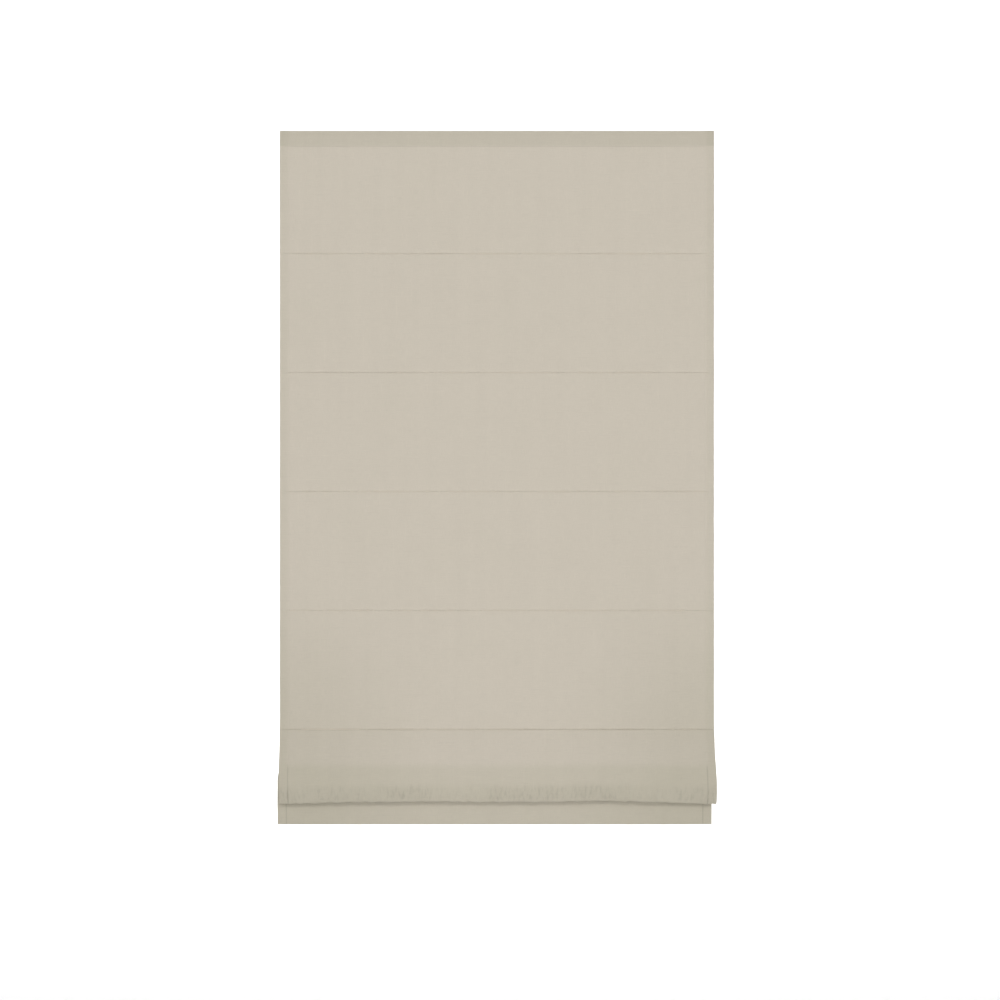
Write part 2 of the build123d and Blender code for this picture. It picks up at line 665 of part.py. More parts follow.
with BuildPart() as brake_wheel:
    with BuildSketch(along_x(brake_start, SHAFT_Y, shaft_z)):
        Circle(JOURNAL_RADIUS)
    extrude(amount=BRAKE_LENGTH)
    with BuildSketch(along_x(brake_start + MOTOR_WALL + FIT, SHAFT_Y, shaft_z)):
        Circle(BRAKE_WHEEL_RADIUS)
    extrude(amount=brake_bore_length - 2 * FIT)
    with BuildSketch(along_x(brake_start, SHAFT_Y, shaft_z)):
        Rectangle(SHAFT_SIDE + 2 * SHAFT_FIT, SHAFT_SIDE + 2 * SHAFT_FIT)
    extrude(amount=BRAKE_LENGTH, mode=Mode.SUBTRACT)
save(brake_wheel, "brake_wheel")

with BuildPart() as brake_spring:
    with BuildSketch(along_x(brake_start + MOTOR_WALL + BRAKE_SPRING_INSET, SHAFT_Y, shaft_z)):
        Circle(BRAKE_WHEEL_RADIUS + LAYER_GAP + BRAKE_SPRING_WALL)
        Circle(BRAKE_WHEEL_RADIUS + LAYER_GAP, mode=Mode.SUBTRACT)
    extrude(amount=brake_bore_length - 2 * BRAKE_SPRING_INSET)
save(brake_spring, "brake_spring")


# ---- Rods in their pockets, with the rings that the cords run through ----
def rod_pocket(z):
    """A folded tape: a sewn flange against the cloth and a tube for the rod."""
    with BuildPart() as pocket:
        with BuildSketch(along_x(-pocket_length / 2, 0, 0)):
            with Locations((rod_y, z)):
                Circle(pocket_outer)
            with Locations((flange_y, z - seam_rise)):
                Rectangle(POCKET_FLANGE, pocket_outer * 2 + POCKET_SKIRT)
            with Locations((rod_y, z)):
                Circle(pocket_bore, mode=Mode.SUBTRACT)
        extrude(amount=pocket_length)
    return pocket


def rod(z):
    """A round fibreglass rod with rounded ends."""
    with BuildPart() as body:
        with BuildSketch(along_x(-rod_length / 2, rod_y, z)):
            Circle(ROD_RADIUS)
        extrude(amount=rod_length)
        fillet(body.edges().filter_by(GeomType.CIRCLE), ROD_RADIUS / 4)
    return body


def ring_set(z):
    """One ring for each cord, sewn level to the back of a rod pocket."""
    with BuildPart() as rings:
        with Locations(*[(x, ring_y, z) for x in cord_places]):
            Torus(RING_RADIUS, RING_WIRE)
    return rings


for number, rod_z in enumerate(rod_heights, start=1):
    save(rod_pocket(rod_z), f"rod_pocket_{number}")
    save(rod(rod_z), f"rod_{number}")
    save(ring_set(rod_z), f"rings_{number}")

with BuildPart() as cord_anchors:
    anchor_top = rod_heights[-1] - RING_WIRE - ANCHOR_GAP
    for cord_x in cord_places:
        with BuildSketch(Plane.XY.offset(anchor_top)):
            with Locations((cord_x, ring_y)):
                Circle(ANCHOR_RADIUS)
                Circle(CORD_RADIUS + LAYER_GAP, mode=Mode.SUBTRACT)
        extrude(amount=-ANCHOR_LENGTH)
    lower_rims = cord_anchors.edges().group_by(Axis.Z)[0]
    chamfer(lower_rims.filter_by(lambda edge: edge.radius > ANCHOR_RADIUS / 2), CORD_RADIUS)
save(cord_anchors, "cord_anchors")

bar_y = cloth_back + BAR_GAP + BAR_THICKNESS / 2
bar_z = cloth_bottom + BAR_LIFT + BAR_WIDTH / 2
bar_length = pocket_length - 2 * BAR_CAP
with BuildPart() as bottom_bar:
    with Locations((0, bar_y, bar_z)):
        Box(bar_length, BAR_THICKNESS, BAR_WIDTH)
    fillet(bottom_bar.edges().filter_by(Axis.X), BAR_THICKNESS / 4)
save(bottom_bar, "bottom_bar")

with BuildPart() as bar_caps:
    for side in sides.values():
        with BuildSketch(along_x(side * bar_length / 2, bar_y, bar_z)):
            cap_face = Rectangle(BAR_THICKNESS, BAR_WIDTH)
            fillet(cap_face.vertices(), BAR_THICKNESS / 4)
        extrude(amount=side * BAR_CAP)
save(bar_caps, "bar_caps")
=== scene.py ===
"""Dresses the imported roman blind: linen cloth, tapes, stitching, cords, finishes and studio."""

import json
import logging
import math
from dataclasses import dataclass, field
from enum import Enum
from typing import Iterable, Sequence, Union

import bpy
import numpy as np
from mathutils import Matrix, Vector


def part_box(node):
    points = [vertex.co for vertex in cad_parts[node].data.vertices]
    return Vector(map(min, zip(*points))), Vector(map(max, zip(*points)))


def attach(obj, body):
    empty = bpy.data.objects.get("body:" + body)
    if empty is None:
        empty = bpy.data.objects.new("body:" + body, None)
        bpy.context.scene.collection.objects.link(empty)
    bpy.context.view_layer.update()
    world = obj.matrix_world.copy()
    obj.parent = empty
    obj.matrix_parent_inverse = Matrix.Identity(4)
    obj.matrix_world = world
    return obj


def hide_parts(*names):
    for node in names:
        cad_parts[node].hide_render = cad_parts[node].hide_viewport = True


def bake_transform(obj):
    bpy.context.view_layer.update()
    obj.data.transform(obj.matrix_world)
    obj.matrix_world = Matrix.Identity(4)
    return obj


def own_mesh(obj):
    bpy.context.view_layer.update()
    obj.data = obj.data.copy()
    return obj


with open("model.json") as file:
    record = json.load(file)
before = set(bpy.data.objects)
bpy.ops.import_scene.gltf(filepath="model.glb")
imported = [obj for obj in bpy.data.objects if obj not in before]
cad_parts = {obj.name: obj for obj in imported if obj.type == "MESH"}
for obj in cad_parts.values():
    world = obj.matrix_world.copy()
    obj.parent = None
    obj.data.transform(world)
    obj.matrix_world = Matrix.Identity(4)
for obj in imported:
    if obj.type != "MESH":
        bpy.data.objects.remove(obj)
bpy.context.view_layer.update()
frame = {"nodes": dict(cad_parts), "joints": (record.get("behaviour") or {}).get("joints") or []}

RODS = range(1, 7)
CORD_SIDES = ("left", "centre", "right")
LOG = logging.getLogger("roman_blind")

Number = Union[int, float]
Colour = tuple[float, float, float]


# ---------------------------------------------------------------- shader maths


class Value:
    """A number socket that Python expressions can add, scale and compare."""

    def __init__(self, tree: "ShaderTree", socket: bpy.types.NodeSocket) -> None:
        """Wraps a socket.

        Args:
            tree: The tree that the socket belongs to.
            socket: The output socket that gives the number.
        """
        self.tree = tree
        self.socket = socket

    def _math(self, operation: str, first: object, second: object = None) -> "Value":
        """Adds one Math node and returns its result."""
        return self.tree.math(operation, first, second)

    def __add__(self, other: object) -> "Value":
        """self + other."""
        return self._math("ADD", self, other)

    def __radd__(self, other: object) -> "Value":
        """other + self."""
        return self._math("ADD", other, self)

    def __sub__(self, other: object) -> "Value":
        """self - other."""
        return self._math("SUBTRACT", self, other)

    def __rsub__(self, other: object) -> "Value":
        """other - self."""
        return self._math("SUBTRACT", other, self)

    def __mul__(self, other: object) -> "Value":
        """self * other."""
        return self._math("MULTIPLY", self, other)

    def __rmul__(self, other: object) -> "Value":
        """other * self."""
        return self._math("MULTIPLY", other, self)

    def __abs__(self) -> "Value":
        """The size of the number, without its sign."""
        return self._math("ABSOLUTE", self)

    def sine(self) -> "Value":
        """The sine of the number, in radians."""
        return self._math("SINE", self)

    def step(self, start: Number, end: Number) -> "Value":
        """Rises smoothly from 0 at start to 1 at end.

        Args:
            start: Where the result leaves 0.
            end: Where the result reaches 1; below start, the result falls.

        Returns:
            The smoothed value, from 0 to 1.
        """
        low, high = min(start, end), max(start, end)
        settings = {"data_type": "FLOAT", "interpolation_type": "SMOOTHSTEP"}
        inputs = {"Value": self, "From Min": low, "From Max": high}
        node = self.tree.node("ShaderNodeMapRange", settings, inputs)
        rising = Value(self.tree, node.outputs["Result"])
        return rising if start < end else 1 - rising


class ShaderTree:
    """A material whose nodes are added one call at a time."""

    def __init__(self, name: str) -> None:
        """Makes an empty material with a Principled shader.

        Args:
            name: The material's name.
        """
        self.material = bpy.data.materials.new(name)
        self.material.use_nodes = True
        self.nodes = self.material.node_tree.nodes
        self.links = self.material.node_tree.links
        self.nodes.clear()
        output = self.nodes.new("ShaderNodeOutputMaterial")
        self.shader = self.nodes.new("ShaderNodeBsdfPrincipled")
        self.links.new(self.shader.outputs["BSDF"], output.inputs["Surface"])

    def node(self, kind: str, settings: dict, inputs: dict) -> bpy.types.Node:
        """Adds a node.

        Args:
            kind: The node's type.
            settings: Properties of the node, set before its sockets.
            inputs: Socket name or number, with a value, a socket or a Value.

        Returns:
            The new node.
        """
        made = self.nodes.new(kind)
        for name, value in settings.items():
            setattr(made, name, value)
        for name, value in inputs.items():
            self.feed(made.inputs[name], value)
        return made

    def feed(self, socket: bpy.types.NodeSocket, value: object) -> None:
        """Links or sets one input socket.

        Args:
            socket: The input socket.
            value: A number, a colour, an output socket or a Value.
        """
        if isinstance(value, Value):
            self.links.new(value.socket, socket)
        elif isinstance(value, bpy.types.NodeSocket):
            self.links.new(value, socket)
        else:
            socket.default_value = value

    def math(self, operation: str, first: object, second: object = None) -> Value:
        """Adds a Math node.

        Args:
            operation: The node's operation.
            first: The first number or Value.
            second: The second one, for an operation that takes two.

        Returns:
            The node's result.
        """
        inputs = {0: first} if second is None else {0: first, 1: second}
        made = self.node("ShaderNodeMath", {"operation": operation}, inputs)
        return Value(self, made.outputs[0])

    def split(self, vector: bpy.types.NodeSocket) -> tuple[Value, Value, Value]:
        """The three parts of a vector socket."""
        made = self.node("ShaderNodeSeparateXYZ", {}, {0: vector})
        return tuple(Value(self, out) for out in made.outputs)

    def place(self, x: object, y: object, z: object = 0.0) -> bpy.types.NodeSocket:
        """A vector socket made of three numbers or Values."""
        return self.node("ShaderNodeCombineXYZ", {}, {0: x, 1: y, 2: z}).outputs[0]

    def noise(self, vector: object, scale: float, detail: float, rough: float = 0.5) -> Value:
        """Perlin noise from 0 to 1.

        Args:
            vector: Where the noise is read.
            scale: Its frequency.
            detail: How many finer layers it has.
            rough: How strong those layers are.

        Returns:
            The noise value.
        """
        inputs = {"Vector": vector, "Scale": scale, "Detail": detail, "Roughness": rough}
        made = self.node("ShaderNodeTexNoise", {"noise_dimensions": "3D"}, inputs)
        return Value(self, made.outputs[0])

    def patches(self, across: Value, along: Value, counts: tuple[float, float],
                layer: float = 0.0, detail: float = 2.0, rough: float = 0.5) -> Value:
        """Noise on the flat cloth, with a frequency of its own each way.

        Args:
            across: Places across the cloth.
            along: Places along it.
            counts: How many patches a metre holds, across and along.
            layer: Tells patterns apart that would otherwise lie alike.
            detail: How many finer layers the noise has.
            rough: How strong those layers are.

        Returns:
            The noise value, from 0 to 1.
        """
        spot = self.place(across * counts[0], along * counts[1], layer)
        return self.noise(spot, 1.0, detail, rough)

    def blend(self, share: object, first: object, second: object) -> bpy.types.NodeSocket:
        """Mixes two colours.

        Args:
            share: 0 for the first colour, 1 for the second.
            first: A colour, or a socket that gives one.
            second: The other colour.

        Returns:
            The mixed colour's socket.
        """
        made = self.node("ShaderNodeMix", {"data_type": "RGBA"}, {})
        self.feed(made.inputs[0], share)
        for slot, colour in ((6, first), (7, second)):
            filled = (*colour, 1.0) if isinstance(colour, tuple) else colour
            self.feed(made.inputs[slot], filled)
        return made.outputs[2]

    def scale_colour(self, colour: object, factor: object) -> bpy.types.NodeSocket:
        """Multiplies a colour by a number or Value.

        Args:
            colour: A colour, or a socket that gives one.
            factor: What each of its parts is multiplied by.

        Returns:
            The new colour's socket.
        """
        grey = self.place(factor, factor, factor)
        made = self.node("ShaderNodeVectorMath", {"operation": "MULTIPLY"}, {0: colour, 1: grey})
        return made.outputs[0]

    def bump(self, height: Value, strength: float, distance: float) -> None:
        """Feeds the shader's normal from a height, in metres for each unit of distance.

        Args:
            height: The surface's height.
            strength: How much of it shows, from 0 to 1.
            distance: How many metres one unit of height is.
        """
        inputs = {"Height": height, "Strength": strength, "Distance": distance}
        made = self.node("ShaderNodeBump", {}, inputs)
        self.feed(self.shader.inputs["Normal"], made.outputs[0])

    def set(self, **constants: object) -> None:
        """Sets the shader's own sockets, with underscores for the spaces in their names."""
        for name, value in constants.items():
            self.feed(self.shader.inputs[name.replace("_", " ")], value)

    def object_place(self) -> bpy.types.NodeSocket:
        """The surface's place in the blind's own frame, in metres."""
        return self.node("ShaderNodeTexCoord", {}, {}).outputs["Object"]

    def cloth_place(self, uv_map: str) -> bpy.types.NodeSocket:
        """The surface's place on the flat cloth, in metres across and along."""
        return self.node("ShaderNodeUVMap", {"uv_map": uv_map}, {}).outputs[0]


# -------------------------------------------------------------------- finishes


CLOTH_UV = "cloth_metres"

# Places on the flat cloth, in metres: the header's stitched rows from the top edge, the side hem's
# inner edge from the side edge, and where painted shade starts on the folded cloth, from its seam.
HEADER_TOP_ROW = 0.009
HEADER_LOW_ROW = 0.036
SIDE_HEM_EDGE = 0.0203
FOLD_SHADE_BELOW_SEAM = 0.072


class Weave(Enum):
    """How closely a cloth is woven, as the pitch of its yarns in metres."""

    LINEN = 0.00085
    TAPE = 0.0006
    HERRINGBONE = 0.0016


@dataclass(frozen=True)
class Linen:
    """Plain-woven linen with slubs both ways, and painted shade and highlights along its creased seams, on
    its doubled edges and on the fold.

    Attributes:
        seams: How far each seam lies from the cloth's top edge.
        fold_shade_start: Where painted shade starts on the cloth that is folded forward.
        fold_end: Where the forward fold turns up.
    """

    seams: tuple[float, ...]
    fold_shade_start: float
    fold_end: float
    body: Colour = (0.590, 0.5385, 0.4545)
    # The colour that painted shade and the random clouds blend towards.
    dull: Colour = (0.526, 0.488, 0.394)
    header_drop: float = HEADER_LOW_ROW
    # Painted shade: how much of the tone the header keeps.
    header_shade_tone: float = 0.96
    hem_line: float = 0.5 - SIDE_HEM_EDGE
    # Painted shade: how much of the tone the doubled side hems keep.
    hem_shade_tone: float = 0.990
    # Painted shade along each seam, with a painted highlight just above it.
    crease_shade_tone: float = 0.13
    crease_width: float = 0.0015
    # Painted shade above the fold's lower edge, broken into crease marks.
    fold_edge_shade_tone: float = 0.115
    # Painted shade below the fifth seam, above the fold's lower edge and towards the lower corners.
    lower_shade_tone: float = 0.035
    # Painted shade along the side hems' inner line on the fold and the flap.
    hem_crease_shade_tone: float = 0.13
    fleck_tone: float = 0.035
    yarn_contrast: float = 0.12
    slub_contrast: float = 0.030
    weave: Weave = Weave.LINEN

    def seam_shade_and_highlight(self, tree: ShaderTree, across: Value, along: Value) -> Value:
        """How strongly painted shade lies along each stitched row, from 1 in it to -0.25 just above it, a
        painted highlight.

        Args:
            tree: The material's nodes.
            across: Places across the cloth.
            along: Places down from its top edge.

        Returns:
            The strength at each place.
        """
        total = 0.0
        for number, seam in enumerate((self.header_drop, *self.seams)):
            uneven = tree.noise(tree.place(across * 5, 4.0 * number), 1.0, 3.0, 0.65).step(0.28, 0.62)
            away = abs(along - seam)
            # The row paints shade into the colour; the band just above it paints a highlight.
            line = away.step(self.crease_width, 0.2 * self.crease_width)
            above = abs(along - (seam - 2.4 * self.crease_width)).step(self.crease_width, 0.0)
            total = total + (line - 0.25 * above) * (0.35 + 0.65 * uneven)
        return total * abs(across).step(0.499, 0.455)

    def yarns(self, tree: ShaderTree, across: Value, along: Value) -> tuple[Value, Value]:
        """How light the yarns make the cloth at each place, about 0, and how high they stand.

        Args:
            tree: The material's nodes.
            across: Places across the cloth.
            along: Places down from its top edge.

        Returns:
            The tone and the height.
        """
        warp = tree.patches(across, along, (1180, 60), 0.0, 2.0, 0.6)
        weft = tree.patches(across, along, (52, 1180), 7.0, 2.0, 0.6)
        warp_slub = tree.patches(across, along, (430, 9), 3.0).step(0.60, 0.78)
        weft_slub = tree.patches(across, along, (11, 450), 5.0).step(0.59, 0.78)
        thin = tree.patches(across, along, (13, 420), 9.0, 1.0).step(0.42, 0.26)
        weft_fleck = tree.patches(across, along, (40, 620), 15.0, 1.0).step(0.73, 0.80)
        warp_fleck = tree.patches(across, along, (620, 40), 17.0, 1.0).step(0.74, 0.80)
        tone = (self.yarn_contrast * ((warp - 0.5) + (weft - 0.5))
                + self.slub_contrast * (warp_slub + 1.2 * weft_slub - 0.8 * thin)
                - self.fleck_tone * (weft_fleck + warp_fleck))
        turn = math.tau / self.weave.value
        crossing = (across * turn).sine() * (along * turn).sine()
        return tone, 0.4 * crossing + 1.1 * (warp + weft) + 1.2 * (warp_slub + weft_slub)

    def fold_edge_shade(self, tree: ShaderTree, across: Value, along: Value) -> tuple[Value, Value]:
        """Where painted shade lies on the forward fold's lower part, and how deep it is, broken into small
        crease marks.

        Args:
            tree: The material's nodes.
            across: Places across the cloth.
            along: Places down from its top edge.

        Returns:
            The shaded band, from 0 to 1, and the depth of its painted shade.
        """
        # A band of painted shade above the fold's lower edge, broken into crease marks by noise.
        band = along.step(self.fold_end - 0.064, self.fold_end - 0.040)
        band = band * (0.25 + 0.75 * along.step(self.fold_end - 0.014, self.fold_end - 0.026))
        band = band * along.step(self.fold_end + 0.012, self.fold_end)
        marks = tree.patches(across, along, (170, 38), 11.0, 3.0, 0.6).step(0.46, 0.68)
        patch = tree.noise(tree.place(across * 10, 0.5, 21.0), 1.0, 2.0).step(0.38, 0.58)
        return band, band * (0.1 + 0.25 * patch + marks * (0.35 + 0.65 * patch))

    def zones(self, across: Value, along: Value) -> dict[str, Value]:
        """How far each place gets painted shade, from 0 to 1: on the header, the side hems, the folded part,
        below the fifth seam, above the fold's lower edge, towards the lower corners and along the hems'
        inner line.

        Args:
            across: Places across the cloth.
            along: Places down from its top edge.

        Returns:
            Each zone's share, by the zone's name.
        """
        aside = abs(across)
        folded = along.step(self.fold_shade_start, self.fold_shade_start + 0.024)
        return {
            "header": along.step(self.header_drop, self.header_drop - 0.003),
            "edge": aside.step(self.hem_line - 0.004, self.hem_line + 0.008),
            "folded": folded,
            "below_seam": along.step(self.seams[4] - 0.002, self.seams[4] + 0.006),
            "under": along.step(self.fold_end - 0.05, self.fold_end),
            "corners": along.step(self.seams[3] - 0.1, self.seams[4]) * aside.step(0.12, 0.46),
            "hem_crease": abs(aside - self.hem_line).step(0.0022, 0.0004) * folded,
        }

    def build(self) -> bpy.types.Material:
        """Makes the material, which reads the flat cloth's own coordinates.

        Returns:
            The material.
        """
        tree = ShaderTree("linen_cloth")
        across, along, _ = tree.split(tree.cloth_place(CLOTH_UV))
        yarn_tone, height = self.yarns(tree, across, along)
        fold_edge_shade_band, fold_edge_shade = self.fold_edge_shade(tree, across, along)
        cloud = tree.patches(across, along, (5, 4)) - 0.5
        streak = tree.patches(across, along, (38, 1.5), 4.0) - 0.5
        blotch = tree.patches(across, along, (24, 20), 19.0, 3.0, 0.6) - 0.5
        zone = self.zones(across, along)
        # Painted shade on the header, the side hems, the fold and the lower corners blends the colour
        # towards dull, and the random clouds do too.
        shade_and_mottle = (0.55 * zone["header"] + 0.3 * zone["edge"] + 0.6 * zone["folded"]
                    + 0.3 * fold_edge_shade_band + 0.45 * zone["corners"] + 0.5 * cloud)
        # Painted shade below the fifth seam, above the fold's lower edge and towards the lower corners.
        lower_shade = zone["corners"] + 0.7 * zone["below_seam"] + 0.4 * zone["under"]
        # The tone takes off painted shade along the seams, at the fold's lower edge, along the hems' inner
        # line and on the lower part.
        tone = (1 + yarn_tone + 0.022 * cloud + 0.035 * streak + 0.03 * blotch
                - self.crease_shade_tone * self.seam_shade_and_highlight(tree, across, along) - self.fold_edge_shade_tone * fold_edge_shade
                - self.hem_crease_shade_tone * zone["hem_crease"] - self.lower_shade_tone * lower_shade)
        # Painted shade on the header.
        tone = tone * (1 - (1 - self.header_shade_tone) * zone["header"])
        # Painted shade on the doubled side hems.
        tone = tone * (1 - (1 - self.hem_shade_tone) * zone["edge"])
        tree.set(Base_Color=tree.scale_colour(tree.blend(shade_and_mottle, self.body, self.dull), tone))
        tree.set(Roughness=0.88 + 0.25 * yarn_tone)
        tree.set(Sheen_Weight=0.10, Sheen_Roughness=0.5, Specular_IOR_Level=0.22)
        tree.bump(height, 0.32, 0.00030)
        return tree.material


@dataclass(frozen=True)
class TapeWeave:
    """Narrow woven tape: a twill with firm selvages."""

    name: str
    colour: Colour
    shade: Colour
    weave: Weave = Weave.TAPE
    fuzz: float = 0.0

    def build(self) -> bpy.types.Material:
        """Makes the material, which reads the tape's own coordinates.

        Returns:
            The material.
        """
        tree = ShaderTree(self.name)
        across, along, _ = tree.split(tree.cloth_place(CLOTH_UV))
        turn = math.tau / self.weave.value
        twill = ((across + along) * turn).sine()
        rib = (across * turn).sine()
        pile = tree.patches(across, along, (1900, 1900), 0.0, 3.0)
        soil = tree.patches(across, along, (30, 60))
        # Where the twill and rib sink, the colour blends towards the shade colour: painted shade in their
        # grooves. The pile varies it at random.
        share = 0.5 + 0.22 * twill + 0.14 * rib + self.fuzz * (pile - 0.5)
        tree.set(Base_Color=tree.scale_colour(
            tree.blend(share, self.shade, self.colour), 0.96 + 0.08 * soil))
        tree.set(Roughness=0.78 + 0.16 * pile, Sheen_Weight=0.2, Specular_IOR_Level=0.25)
        tree.bump(twill + 0.6 * rib + 3 * self.fuzz * pile, 0.5, 0.00022)
        return tree.material


@dataclass(frozen=True)
class SprayedMetal:
    """Powder-coated extrusion: fine orange peel, die lines along X and patches of dust."""

    name: str
    colour: Colour
    roughness: float = 0.38

    def build(self) -> bpy.types.Material:
        """Makes the material.

        Returns:
            The material.
        """
        tree = ShaderTree(self.name)
        spot = tree.object_place()
        x, y, z = tree.split(spot)
        peel = tree.noise(spot, 700.0, 2.0)
        die = tree.noise(tree.place(x * 2.0, y * 900, z * 900), 1.0, 2.0)
        dust = tree.noise(spot, 42.0, 4.0).step(0.48, 0.75)
        dull = tuple(0.9 * part for part in self.colour)
        tree.set(Base_Color=tree.blend(0.35 * dust, self.colour, dull))
        tree.set(Roughness=self.roughness + 0.12 * dust + 0.06 * (peel - 0.5))
        tree.set(Coat_Weight=0.15, Coat_Roughness=0.3)
        tree.bump(peel + 0.8 * die, 0.18, 0.0001)
        return tree.material


@dataclass(frozen=True)
class BrushedMetal:
    """Bare metal with a grain along one axis and a little wear."""

    name: str
    colour: Colour
    roughness: float
    grain: tuple[float, float, float] = (3.0, 1400.0, 1400.0)

    def build(self) -> bpy.types.Material:
        """Makes the material.

        Returns:
            The material.
        """
        tree = ShaderTree(self.name)
        spot = tree.object_place()
        x, y, z = tree.split(spot)
        gx, gy, gz = self.grain
        lines = tree.noise(tree.place(x * gx, y * gy, z * gz), 1.0, 3.0, 0.65)
        spangle = tree.noise(spot, 260.0, 1.0)
        stain = tree.noise(spot, 60.0, 3.0).step(0.5, 0.8)
        worn = tuple(0.72 * part for part in self.colour)
        tree.set(Base_Color=tree.scale_colour(
            tree.blend(0.4 * stain, self.colour, worn), 0.92 + 0.16 * spangle))
        tree.set(Metallic=1.0)
        tree.set(Roughness=self.roughness + 0.18 * (lines - 0.5) + 0.1 * stain)
        tree.bump(lines, 0.2, 0.00006)
        return tree.material


@dataclass(frozen=True)
class Moulding:
    """Moulded plastic with a fine spark-eroded grain and faint flow marks."""

    name: str
    colour: Colour
    roughness: float = 0.5
    grain: float = 0.25
    clarity: float = 0.0

    def build(self) -> bpy.types.Material:
        """Makes the material.

        Returns:
            The material.
        """
        tree = ShaderTree(self.name)
        spot = tree.object_place()
        grain = tree.noise(spot, 1600.0, 2.0)
        flow = tree.noise(spot, 55.0, 3.0)
        tint = tuple(0.93 * part for part in self.colour)
        tree.set(Base_Color=tree.blend(flow.step(0.3, 0.7), tint, self.colour))
        tree.set(Roughness=self.roughness + 0.14 * (flow - 0.5))
        tree.set(Subsurface_Weight=self.clarity, Subsurface_Radius=(0.004, 0.004, 0.004))
        tree.bump(grain, self.grain, 0.00005)
        return tree.material


@dataclass(frozen=True)
class Braid:
    """Braided polyester cord: two sets of yarns that cross in diamonds."""

    name: str = "braided_cord"
    colour: Colour = (0.83, 0.82, 0.78)
    shade: Colour = (0.58, 0.56, 0.51)
    pitch: float = 0.0011

    def build(self) -> bpy.types.Material:
        """Makes the material.

        Returns:
            The material.
        """
        tree = ShaderTree(self.name)
        x, y, z = tree.split(tree.object_place())
        turn = math.tau / self.pitch
        right = ((z + 1.6 * x + 0.5 * y) * turn).sine()
        left = ((z - 1.6 * x - 0.5 * y) * turn).sine()
        yarn = tree.math("MAXIMUM", right, left)
        fibre = tree.noise(tree.place(x * 4000, y * 4000, z * 900), 1.0, 2.0)
        # Between the yarns the colour blends towards the shade colour: painted shade in the grooves.
        share = 0.55 + 0.35 * yarn + 0.2 * (fibre - 0.5)
        tree.set(Base_Color=tree.blend(share, self.shade, self.colour))
        tree.set(Roughness=0.62 + 0.2 * fibre, Sheen_Weight=0.15)
        tree.bump(yarn + 0.4 * fibre, 0.5, 0.00018)
        return tree.material


@dataclass(frozen=True)
class Thread:
    """Spun sewing thread with a visible twist."""

    name: str
    colour: Colour
    shade: Colour

    def build(self) -> bpy.types.Material:
        """Makes the material.

        Returns:
            The material.
        """
        tree = ShaderTree(self.name)
        x, y, z = tree.split(tree.object_place())
        twist = ((x + 0.8 * z + 0.8 * y) * (math.tau / 0.0005)).sine()
        wear = tree.noise(tree.place(x * 300, y * 300, z * 300), 1.0, 2.0)
        # In the twist's grooves the colour blends towards the shade colour: painted shade.
        tree.set(Base_Color=tree.blend(0.5 + 0.4 * twist, self.shade, self.colour))
        tree.set(Roughness=0.6 + 0.25 * wear, Sheen_Weight=0.1)
        tree.bump(twist, 0.4, 0.00008)
        return tree.material


@dataclass(frozen=True)
class GlassFibre:
    """Pulled glass-fibre rod: pale resin with fibres that run its whole length."""

    name: str = "glass_fibre_rod"
    resin: Colour = (0.74, 0.75, 0.66)
    fibre: Colour = (0.86, 0.86, 0.80)

    def build(self) -> bpy.types.Material:
        """Makes the material.

        Returns:
            The material.
        """
        tree = ShaderTree(self.name)
        x, y, z = tree.split(tree.object_place())
        strands = tree.noise(tree.place(x * 12, y * 2600, z * 2600), 1.0, 2.0, 0.6)
        tree.set(Base_Color=tree.blend(strands.step(0.35, 0.65), self.resin, self.fibre))
        tree.set(Roughness=0.3 + 0.25 * strands, Coat_Weight=0.2)
        tree.bump(strands, 0.3, 0.00008)
        return tree.material


@dataclass(frozen=True)
class StudioPaper:
    """Seamless white paper for the floor and the background."""

    name: str = "seamless_paper"
    colour: Colour = (0.70, 0.70, 0.70)

    def build(self) -> bpy.types.Material:
        """Makes the material.

        Returns:
            The material.
        """
        tree = ShaderTree(self.name)
        grain = tree.noise(tree.object_place(), 90.0, 3.0)
        tree.set(Base_Color=(*self.colour, 1.0), Roughness=0.95, Specular_IOR_Level=0.1)
        tree.bump(grain, 0.05, 0.0002)
        return tree.material


# ----------------------------------------------------------- modelling by hand


def deselect() -> None:
    """Deselects every object, so that the next operator acts on its own piece only."""
    bpy.ops.object.select_all(action="DESELECT")


def take(piece: bpy.types.Object) -> bpy.types.Object:
    """Selects one piece alone and makes it the active one.

    Args:
        piece: The piece.

    Returns:
        The same piece.
    """
    deselect()
    piece.select_set(True)
    bpy.context.view_layer.objects.active = piece
    return piece


def named(piece: bpy.types.Object, name: str) -> bpy.types.Object:
    """Names a piece and its mesh.

    Args:
        piece: The piece.
        name: Its new name.

    Returns:
        The same piece.
    """
    piece.name = name
    piece.data.name = name
    return piece


def apply_all(piece: bpy.types.Object) -> bpy.types.Object:
    """Applies a piece's modifiers, from the first to the last.

    Args:
        piece: The piece.

    Returns:
        The same piece, with no modifier left.
    """
    take(piece)
    for modifier in list(piece.modifiers):
        bpy.ops.object.modifier_apply(modifier=modifier.name)
    return piece


def settle(piece: bpy.types.Object) -> bpy.types.Object:
    """Puts a piece's place, turn and scale into its mesh.

    Args:
        piece: The piece.

    Returns:
        The same piece.
    """
    take(piece)
    bpy.ops.object.transform_apply(location=True, rotation=True, scale=True)
    return piece


def copy_of(piece: bpy.types.Object) -> bpy.types.Object:
    """A second piece with its own mesh, at the same place.

    Args:
        piece: The piece.

    Returns:
        The second piece.
    """
    second = piece.copy()
    second.data = piece.data.copy()
    bpy.context.scene.collection.objects.link(second)
    return second


